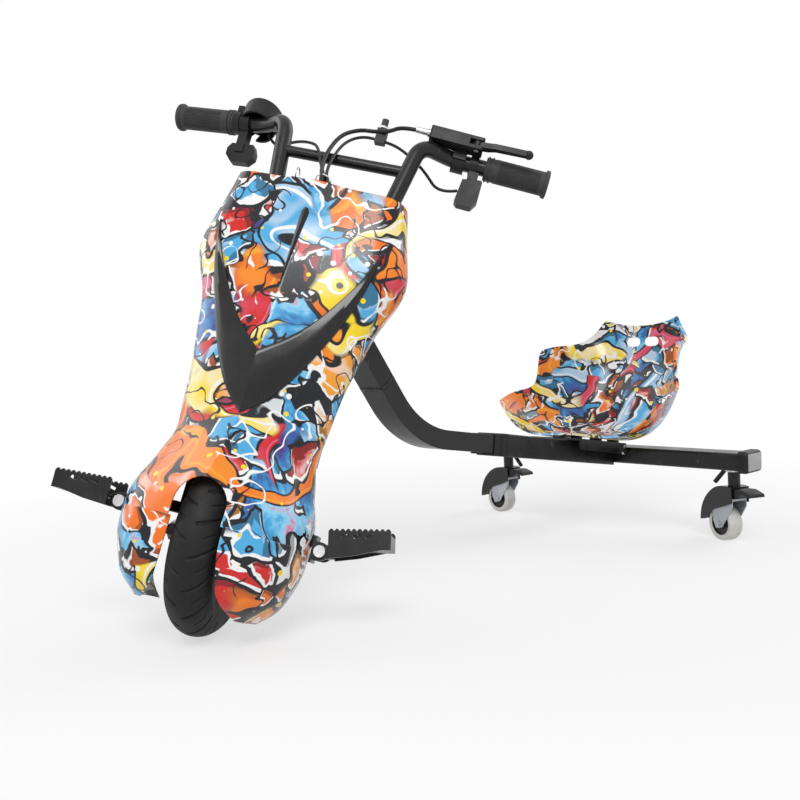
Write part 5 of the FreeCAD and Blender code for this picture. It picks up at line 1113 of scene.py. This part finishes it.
@dataclass
class Handlebar:
    """The bar with its grips, controls and cables."""

    inner: Triple = (126.0, 88.0, 527.0)
    end: Triple = (243.0, 102.0, 525.0)
    grip_length: float = 78.0
    grip_radius: float = 15.0
    flange: float = 17.5
    bore: float = 10.0
    lever_at: float = 104.0
    pod_at: float = 74.0
    lid: float = 402.0
    entry: Pair = (4.0, -8.0)
    ribs: int = 48
    rib_depth: float = 0.42
    grip_turns: int = 288
    cut_corner: float = 0.965
    perch_face: Triple = (-50.0, -25.0, 15.0)
    brake_way: tuple[Triple, ...] = ((38, 72, 541), (20, 77, 541), (2, 75, 539), (-14, 57, 519), (-19, 38, 486),
                                     (-15, 18, 452))
    switch_way: tuple[Triple, ...] = ((116, 92, 482), (97, 76, 498), (78, 70, 510), (54, 74, 525), (30, 80, 532),
                                      (8, 75, 531), (-7, 58, 511), (-10, 36, 478), (-7, 14, 444))
    throttle_way: tuple[Triple, ...] = ((-111, 99, 508), (-93, 89, 507), (-74, 78, 509), (-53, 62, 503),
                                        (-34, 42, 490), (-19, 24, 458))
    tie_wall: float = 0.9
    tie_spots: tuple[tuple[str, Triple, Triple, float, float], ...] = (
        ("tie_lower", (-6.0, 8.0, 431.0), (0.1, -0.5, -0.87), 7.5, 1.1),
        ("tie_upper", (29.5, 80.0, 549.0), (0.0, 0.0, 1.0), 5.0, 1.3))
    nodes: tuple[tuple[str, float], ...] = (("handlebar", 0.25), ("brake_perch", 0.9), ("brake_lever", 0.8),
                                            ("brake_fittings", 0.35), ("switch_housing", 0.8), ("horn_button", 0.5),
                                            ("light_rocker", 0.5), ("throttle_pod", 0.9), ("throttle_paddle", 1.2),
                                            ("cable_holders", 0.4))

    def axes(self) -> np.ndarray:
        """Return the +x bar's axes as columns: outwards along it, towards the rider, up."""
        out = np.array(self.end) - np.array(self.inner)
        out /= np.linalg.norm(out)
        back = np.cross([0, 0, 1.0], out)
        back /= np.linalg.norm(back)
        return np.column_stack([out, back, np.cross(out, back)])

    def control_point(self, distance: float, offset: Triple, side: int = 1) -> np.ndarray:
        """Return a steering-frame point given from a place on the bar, mirrored for side -1."""
        axes = self.axes()
        point = np.array(self.end) - axes[:, 0] * distance + axes @ np.array(offset)
        return point * np.array([side, 1.0, 1.0])

    def grips(self, shop: Workshop) -> None:
        """Build the grips: lengthwise ribs as a cosine of the turn, smooth at both flanges."""
        profile = np.array([(-3, self.bore), (-3, self.flange - 1.2), (-2.6, self.flange - 0.4),
                            (-1.8, self.flange), (1.2, self.flange), (2.0, self.flange - 0.4),
                            (2.5, self.grip_radius + 0.4), (4.0, self.grip_radius)])
        body = np.column_stack([np.linspace(5, self.grip_length - 13, 60), np.full(60, self.grip_radius)])
        tail = [(self.grip_length - 12, self.grip_radius - 0.6)]
        for start in (self.grip_length - 7, self.grip_length - 2):
            tail += [(start - 2.2, self.grip_radius - 0.3), (start - 1.8, self.grip_radius + 1.1),
                     (start - 0.2, self.grip_radius + 1.1), (start + 0.2, self.grip_radius - 0.3)]
        tail += [(self.grip_length, self.grip_radius - 0.8), (self.grip_length, self.bore)]
        line = np.vstack([profile, body, np.array(tail, float)])
        turn = np.linspace(0, 2 * math.pi, self.grip_turns, endpoint=False)[:, None]
        along = line[:, 0]
        ribbed = np.clip((along - 6) / 3, 0, 1) * np.clip((self.grip_length - 15 - along) / 3, 0, 1)
        panels = 0.5 + 0.5 * np.clip(4 * np.sin(2 * turn + 0.6) + 1.5, -1, 1)
        ribs = self.rib_depth * (np.clip(np.cos(self.ribs * turn) * 1.8, -1, 1) - 1) * panels
        radii = line[:, 1][None, :] + ribs * ribbed[None, :]
        for name, side in (("left", 1), ("right", -1)):
            axes = np.diag([side, 1.0, 1.0]) @ self.axes()
            axes = np.column_stack([-axes[:, 0], axes[:, 1], axes[:, 2]])
            place = shop.steering.moved(np.array(self.end) * np.array([side, 1, 1]), axes)
            grip = lathe("grip_" + name, radii, along, place, 50.0, self.grip_turns)
            shop.seat_piece(grip, "steering", Slot.RUBBER, replaces=["grips"])

    def routes(self) -> list[tuple[str, float, list]]:
        """Return each cable's name, radius and control points in the steering frame."""
        x, y = self.entry
        out, back, up = self.perch_face
        brake = [self.control_point(self.lever_at, (out - reach, back, up)) for reach in (4, 34)]
        brake += [*self.brake_way, (x - 7, y + 3, 426), (x - 6, y, self.lid)]
        switch = [self.control_point(self.lever_at - 11.5, (-11.4, 0, -38)), *self.switch_way,
                  (x + 2, y + 3, 422), (x + 2, y, self.lid)]
        throttle = [self.control_point(self.pod_at, (-48.9, 8.4, -7.4), -1), *self.throttle_way,
                    (x - 4, y + 10, 428), (x - 2, y + 7, self.lid)]
        return [("brake_cable", 2.6, brake), ("switch_cable", 1.9, switch), ("throttle_cable", 1.9, throttle)]

    def cables(self, shop: Workshop) -> None:
        """Build the cables as splines whose control points are the route's points.

        A spline cuts the corners of its control points' path, so each length is that path's, cut by a share.
        """
        for name, radius, points in self.routes():
            places = shop.steering.metres(np.array([list(p) for p in points], float))
            curve = bpy.data.curves.new(name, "CURVE")
            curve.dimensions = "3D"
            curve.bevel_depth = radius * MM
            curve.bevel_resolution = 4
            curve.resolution_u = 10
            curve.use_fill_caps = True
            spline = curve.splines.new("NURBS")
            spline.points.add(len(places) - 1)
            spline.points.foreach_set("co", np.hstack([places, np.ones((len(places), 1))]).ravel())
            spline.order_u = 3
            spline.use_endpoint_u = True
            item = link(name, curve)
            shop.seat_piece(item, "steering", Slot.RUBBER, CABLE_SKIN, ["control_cables"])

    def ties(self, shop: Workshop) -> None:
        """Build the nylon ties: flat bands turned about the cables that they hold, each with its lock."""
        for name, spot, direction, radius, half in self.tie_spots:
            place = shop.steering.moved(spot, axes_along(direction))
            radii = radius + np.array([0.0, self.tie_wall, self.tie_wall, 0.0])
            band = lathe(name, radii, np.array([-half, -half, half, half]), place, 40.0, 40)
            shop.seat_piece(band, "steering", Slot.RUBBER, NYLON_WHITE)
            head = np.array([(radius - 0.4, -2.0), (radius + 3.0, -2.0), (radius + 3.0, 2.0), (radius - 0.4, 2.0)])
            lock = prism(name + "_head", head, -half - 0.9, half + 0.9, place, 0)
            round_edges(lock, 0.4)
            shop.seat_piece(lock, "steering", Slot.RUBBER, NYLON_WHITE)

    def build(self, shop: Workshop) -> None:
        """Build grips, cables and ties, and finish the controls."""
        self.grips(shop)
        self.cables(shop)
        self.ties(shop)
        for node, width in self.nodes:
            shop.refine(node, width)


@dataclass
class Chassis:
    """Beam, sleeve, crossbar, carrier and pegs, with a weld bead."""

    bend: Pair = (277.5, 182.9)
    rise: float = math.radians(56.3)
    beam: Pair = (40.0, 25.0)
    splice: float = 84.0
    cap_face: float = 235.0
    facing: float = 0.9
    ripples: int = 34
    corner_power: int = 14
    bead_points: int = 420
    bead_size: Pair = (1.5, 0.35)
    nodes: tuple[tuple[str, float], ...] = (("main_beam", 1.0), ("beam_sleeve", 1.4), ("sleeve_bush", 0.9),
                                            ("rear_crossbar", 1.4), ("caster_sockets", 0.5), ("seat_carrier", 0.7),
                                            ("seat_bolts", 0.4), ("thumb_screws", 0.4), ("seat_pads", 0.3),
                                            ("head_tube", 0.5), ("headset_cups", 0.4), ("peg_brackets", 0.8),
                                            ("peg_bolts", 0.6), ("peg_left", 0.6), ("peg_right", 0.6))

    def bead(self, name: str, body: str, place: Place, width: float, height: float, shop: Workshop) -> None:
        """Build a weld bead round a tube: a rounded rectangle carrying a section that swells with each ripple.

        Args:
            name: the bead's name.
            body: the body that it rides on.
            place: frame with x along the tube.
            width: the tube's width along y.
            height: the tube's height along z.
            shop: the workshop.
        """
        count, power = self.bead_points, self.corner_power
        turn = np.linspace(0, 2 * math.pi, count, endpoint=False)
        square = np.abs(np.cos(turn)) ** power + np.abs(np.sin(turn)) ** power
        reach = square ** (-1 / power)
        y = np.cos(turn) * reach * width / 2
        z = np.sin(turn) * reach * height / 2
        wave = np.sin(turn * self.ripples)
        ripple = self.bead_size[0] + self.bead_size[1] * np.abs(wave)
        ring = np.linspace(0, 2 * math.pi, 10, endpoint=False)
        along = ripple[:, None] * 1.5 * np.cos(ring)[None, :] + 0.5 * wave[:, None]
        out = 1 + ripple[:, None] * np.sin(ring)[None, :] * 0.8 / (np.hypot(y, z)[:, None])
        points = np.stack([along, y[:, None] * out, z[:, None] * out], axis=2)
        points = np.concatenate([points, points[:1]], axis=0)
        item = make_object(name, place.metres(points), grid_faces(count + 1, 10, True), 60.0)
        shop.seat_piece(item, body, Slot.STEEL, WELD)

    def build(self, shop: Workshop) -> None:
        """Finish the nodes, paint a pale grey reflection on the end caps' outer faces, and add the weld bead."""
        for node, width in self.nodes:
            shop.refine(node, width, 30.0)
        caps = shop.refine("crossbar_end_caps", 3.2, 30.0, steps=3)
        # The caps' outer flat faces get the pale grey, a painted reflection on caps that are black themselves.
        centres, normals = face_facts(caps)
        flat = (np.abs(normals[:, 0]) > self.facing) & (np.abs(centres[:, 0]) > self.cap_face * MM)
        shop.second_finish(caps, CAP_PAINTED_REFLECTION, flat)
        up = np.array([0, -math.cos(self.rise), math.sin(self.rise)])
        spot = np.array([0, self.bend[0], self.bend[1]]) + up * self.splice
        place = shop.vehicle.moved(spot, np.column_stack([up, [1.0, 0, 0], np.cross(up, [1.0, 0, 0])]))
        self.bead("beam_weld", "front_frame", place, self.beam[0], self.beam[1], shop)


@dataclass
class Casters:
    """The rear casters: glossy hoods, plated frames, and pale treads on black cores."""

    trail: float = 20.0
    wheel: float = 25.0
    width: float = 21.0
    core: float = 17.6
    turn: tuple[tuple[str, float], ...] = (("left", 157.0), ("right", 175.0))
    half_track: float = 209.0
    back: float = 712.0
    neck: float = 64.0

    def place(self, name: str, shop: Workshop) -> Place:
        """Return the wheel's frame, x along its pin."""
        side = 1 if name == "left" else -1
        turn = math.radians(dict(self.turn)[name])
        stand = shop.vehicle.moved((side * self.half_track, self.back, 0.0), turn_z(turn))
        return stand.moved((self.trail, 0.0, self.wheel), np.column_stack([[0, 1.0, 0], [1.0, 0, 0], [0, 0, -1.0]]))

    def build(self, shop: Workshop) -> None:
        """Build both casters."""
        half = self.width / 2
        edge = np.linspace(0, math.pi / 2, 7)
        round_out = np.column_stack([half - 3 + 3 * np.sin(edge), self.wheel - 3 + 3 * np.cos(edge)])
        right = np.vstack([round_out, [(half, self.core + 0.6), (half - 0.5, self.core)]])
        tread = np.vstack([right, (right * np.array([-1, 1]))[::-1]])
        core_right = np.array([(half - 0.6, self.core), (half - 0.6, self.core - 1.2), (half - 2.4, self.core - 2.0),
                               (half - 2.5, 9.0), (half - 0.4, 8.2), (half, 7.6), (half, 3.1)])
        core = np.vstack([core_right, (core_right * np.array([-1, 1]))[::-1]])
        for name, _ in self.turn:
            place = self.place(name, shop)
            body = "caster_wheel_" + name + "_body"
            rim = lathe("caster_tread_" + name, tread[:, 1], tread[:, 0], place)
            shop.seat_piece(rim, body, Slot.TREAD, replaces=["caster_wheel_" + name])
            hub = lathe("caster_core_" + name, core[:, 1], core[:, 0], place)
            shop.seat_piece(hub, body, Slot.TREAD, CORE_BLACK)
            shop.refine("caster_hood_" + name, 1.4, 35.0, FINISHES[Slot.GLOSS], 3)
            fork = shop.refine("caster_frame_" + name, 0.35, 35.0, PLATE_GREY)
            shop.second_finish(fork, FINISHES[Slot.STEEL], face_facts(fork)[0][:, 2] > self.neck * MM)
            shop.refine("caster_pedal_" + name, 0.9, 35.0)


@dataclass
class BucketSeat:
    """The printed bucket seat, swept round a level line in front of the rider's hips."""

    wall: float = 3.5
    angles: tuple[float, ...] = (-102, -92, -80, -66, -52, -38, -26, -16, -8, 1)
    reach: tuple[Pair, ...] = ((-102, 180.5), (-92, 182.5), (-80, 189), (-66, 195), (-52, 193), (-38, 186),
                               (-26, 180), (-16, 173), (1, 166))
    floor: tuple[Pair, ...] = ((-102, 84), (-80, 74), (-66, 58), (-44, 46), (-16, 46), (1, 52))
    half: tuple[Pair, ...] = ((-102, 149), (-86, 150), (-72, 138), (-57, 129), (-38, 126), (-27, 115),
                              (-16, 100), (-8, 82), (1, 66))
    rise: tuple[Pair, ...] = ((-102, 50), (-92, 62), (-80, 72), (-66, 82), (-52, 110), (-38, 106), (-26, 80),
                              (-16, 33), (-8, 16), (1, 4))
    pivot: Pair = (652.0, 330.0)
    slot_centre: float = 17.0
    slot: Pair = (27.0, 15.0)
    slot_low: float = 282.0
    dip: Pair = (200.0, 316.0)
    columns: int = 121
    rows: int = 130
    reach_cut: Pair = (60.0, 260.0)

    def skin(self, offset: float, columns: int, rows: int) -> np.ndarray:
        """Return one face of the seat as a grid (angle, across, xyz) in the vehicle frame.

        Each section is a spline over the floor, haunches and rims in its radial plane, and splines over the
        angle join the sections. A point at radius r lies at (x, pivot y + r * cos, pivot z + r * sin).
        """
        places = np.array(self.angles, float)
        lines = []
        for angle in places:
            spot = np.array([angle])
            reach, floor, half, rise = (table(rule, spot)[0] for rule in
                                        (self.reach, self.floor, self.half, self.rise))
            reach = reach + offset
            side = np.array([(0.0, reach), (floor, reach - 1), ((floor + half) / 2, reach - rise * 0.32),
                             (half + offset, reach - rise)])
            line = both_sides(side)
            turn = math.radians(angle)
            spatial = np.column_stack([line[:, 0], self.pivot[0] + line[:, 1] * math.cos(turn),
                                       self.pivot[1] + line[:, 1] * math.sin(turn)])
            lines.append(smooth_line(spatial, columns))
        return natural_spline(places, np.stack(lines), np.linspace(places[0], places[-1], rows))

    def build(self, shop: Workshop) -> None:
        """Build the shell with its belt slots, rounded slot ends and dipped top edge."""
        outer, inner = (shop.vehicle.metres(self.skin(inset, self.columns, self.rows)) for inset in (0.0, -self.wall))
        shell = thick_wall("printed_seat", outer, inner)
        cutters = []
        near, far = (self.pivot[0] + reach for reach in self.reach_cut)
        turn = np.linspace(0, 2 * math.pi, 48, endpoint=False)
        long, tall = self.slot[0] / 2 - self.slot[1] / 2, self.slot[1] / 2
        middle = self.slot_low + tall
        for side in (-1, 1):
            x = side * self.slot_centre + np.sign(np.cos(turn)) * long + tall * np.cos(turn)
            outline = np.column_stack([x, middle + tall * np.sin(turn)])
            cutters.append(prism("slot", outline, near, far, shop.vehicle, 1))
        radius, low = self.dip
        wide = np.linspace(0, 2 * math.pi, 180, endpoint=False)
        bowl = np.column_stack([radius * np.cos(wide), low + radius + radius * np.sin(wide)])
        cutters.append(prism("dip", bowl, near, far, shop.vehicle, 1))
        cut(shell, cutters)
        shade(shell.data, 40.0)
        round_edges(shell, 1.1, 50.0, 3)
        shop.seat_piece(shell, "rear_frame", Slot.PRINT, replaces=["seat_shell"])


@dataclass
class Studio:
    """Floor, soft lights and the camera of the photograph."""

    eye: Triple = (838.23, -502.30, 290.94)
    right: Triple = (0.67754585, 0.73426778, -0.04221898)
    up: Triple = (-0.01071835, 0.06725493, 0.99767825)
    lens: float = 41.05
    floor_half: float = 9.0
    lamps: tuple[tuple[str, Triple, Triple, float, float], ...] = (
        ("key", (1.9, -1.9, 2.6), (0.0, 0.0, 0.25), 74.0, 1.5),
        ("fill", (-2.2, -1.4, 1.9), (0.0, 0.0, 0.3), 26.0, 2.2),
        ("back", (0.8, 2.6, 2.2), (0.0, 0.2, 0.2), 30.0, 2.0))

    def floor(self) -> None:
        """Build the pale floor, white far from the scooter for what looks at it straight or by reflection."""
        corner = self.floor_half
        points = np.array([(-corner, -corner, 0), (corner, -corner, 0), (corner, corner, 0), (-corner, corner, 0)])
        item = make_object("studio_floor", points, [[0, 1, 2, 3]])
        material = bpy.data.materials.new("studio_floor")
        material.use_nodes = True
        g = Graph(material.node_tree)
        shader = material.node_tree.nodes["Principled BSDF"]
        shader.inputs["Base Color"].default_value = (0.86, 0.86, 0.86, 1)
        shader.inputs["Roughness"].default_value = 0.9
        shader.inputs["Specular IOR Level"].default_value = 0.1
        place = g.add("TexCoord").outputs["Object"]
        far = g.add("VectorMath", place, settings={"operation": "LENGTH"}).outputs["Value"]
        path = g.add("LightPath")
        seen = g.maths("MAXIMUM", path.outputs["Is Camera Ray"], path.outputs["Is Glossy Ray"])
        white = g.add("Emission", (1, 1, 1, 1), 1.0)
        share = g.maths("MULTIPLY", g.fade(far, 0.45, 1.3, 0.62, 1.0), seen)
        blend = g.add("MixShader", share, shader.outputs[0], white.outputs[0])
        output = next(n for n in material.node_tree.nodes if n.type == "OUTPUT_MATERIAL")
        g.feed(output.inputs["Surface"], blend.outputs[0])
        item.data.materials.append(material)

    def world(self) -> None:
        """Light the room evenly, and show white to what looks at it straight or by reflection."""
        world = bpy.data.worlds.new("studio")
        bpy.context.scene.world = world
        world.use_nodes = True
        g = Graph(world.node_tree)
        world.node_tree.nodes.clear()
        path = g.add("LightPath")
        seen = g.maths("MAXIMUM", path.outputs["Is Camera Ray"], path.outputs["Is Transmission Ray"])
        glossy = g.maths("MULTIPLY", path.outputs["Is Glossy Ray"], 0.85)
        seen = g.maths("MAXIMUM", seen, glossy)
        soft = g.add("Background", (1, 1, 1, 1), 0.34)
        white = g.add("Background", (1, 1, 1, 1), 1.0)
        blend = g.add("MixShader", seen, soft.outputs[0], white.outputs[0])
        output = g.add("OutputWorld")
        g.feed(output.inputs["Surface"], blend.outputs[0])

    def lamp(self, name: str, spot: Triple, target: Triple, power: float, size: float) -> None:
        """Hang a soft square lamp that looks at a target."""
        light = bpy.data.lights.new(name, "AREA")
        light.energy = power
        light.size = size
        item = link(name, light)
        item.location = spot
        item.rotation_euler = (Vector(target) - Vector(spot)).to_track_quat("-Z", "Y").to_euler()

    def camera(self, shop: Workshop) -> None:
        """Place the camera where the photograph was taken from."""
        data = bpy.data.cameras.new("photo_view")
        data.lens = self.lens
        data.sensor_width = 36.0
        data.clip_end = 50.0
        item = link("photo_view", data)
        right = Vector(self.right).normalized()
        up = Vector(self.up).normalized()
        back = right.cross(up).normalized()
        matrix = Matrix((right, up, back)).transposed().to_4x4()
        matrix.translation = Vector(shop.vehicle.metres(np.array(self.eye)))
        item.matrix_world = matrix
        bpy.context.scene.camera = item

    def build(self, shop: Workshop) -> None:
        """Build the studio."""
        self.floor()
        self.world()
        for lamp in self.lamps:
            self.lamp(*lamp)
        self.camera(shop)
        bpy.context.scene.view_settings.view_transform = "Standard"


def main() -> None:
    """Load the frame and build every sub-assembly in order."""
    logging.basicConfig(level=logging.INFO, format="%(name)s: %(message)s")
    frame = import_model()
    shop = Workshop(frame)
    shop.dress_nodes()
    for part in (FrontWheel(), Fairing(), Handlebar(), Chassis(), Casters(), BucketSeat(), Studio()):
        LOG.info("building %s", type(part).__name__)
        part.build(shop)
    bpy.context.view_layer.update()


if __name__ == "__main__":
    main()
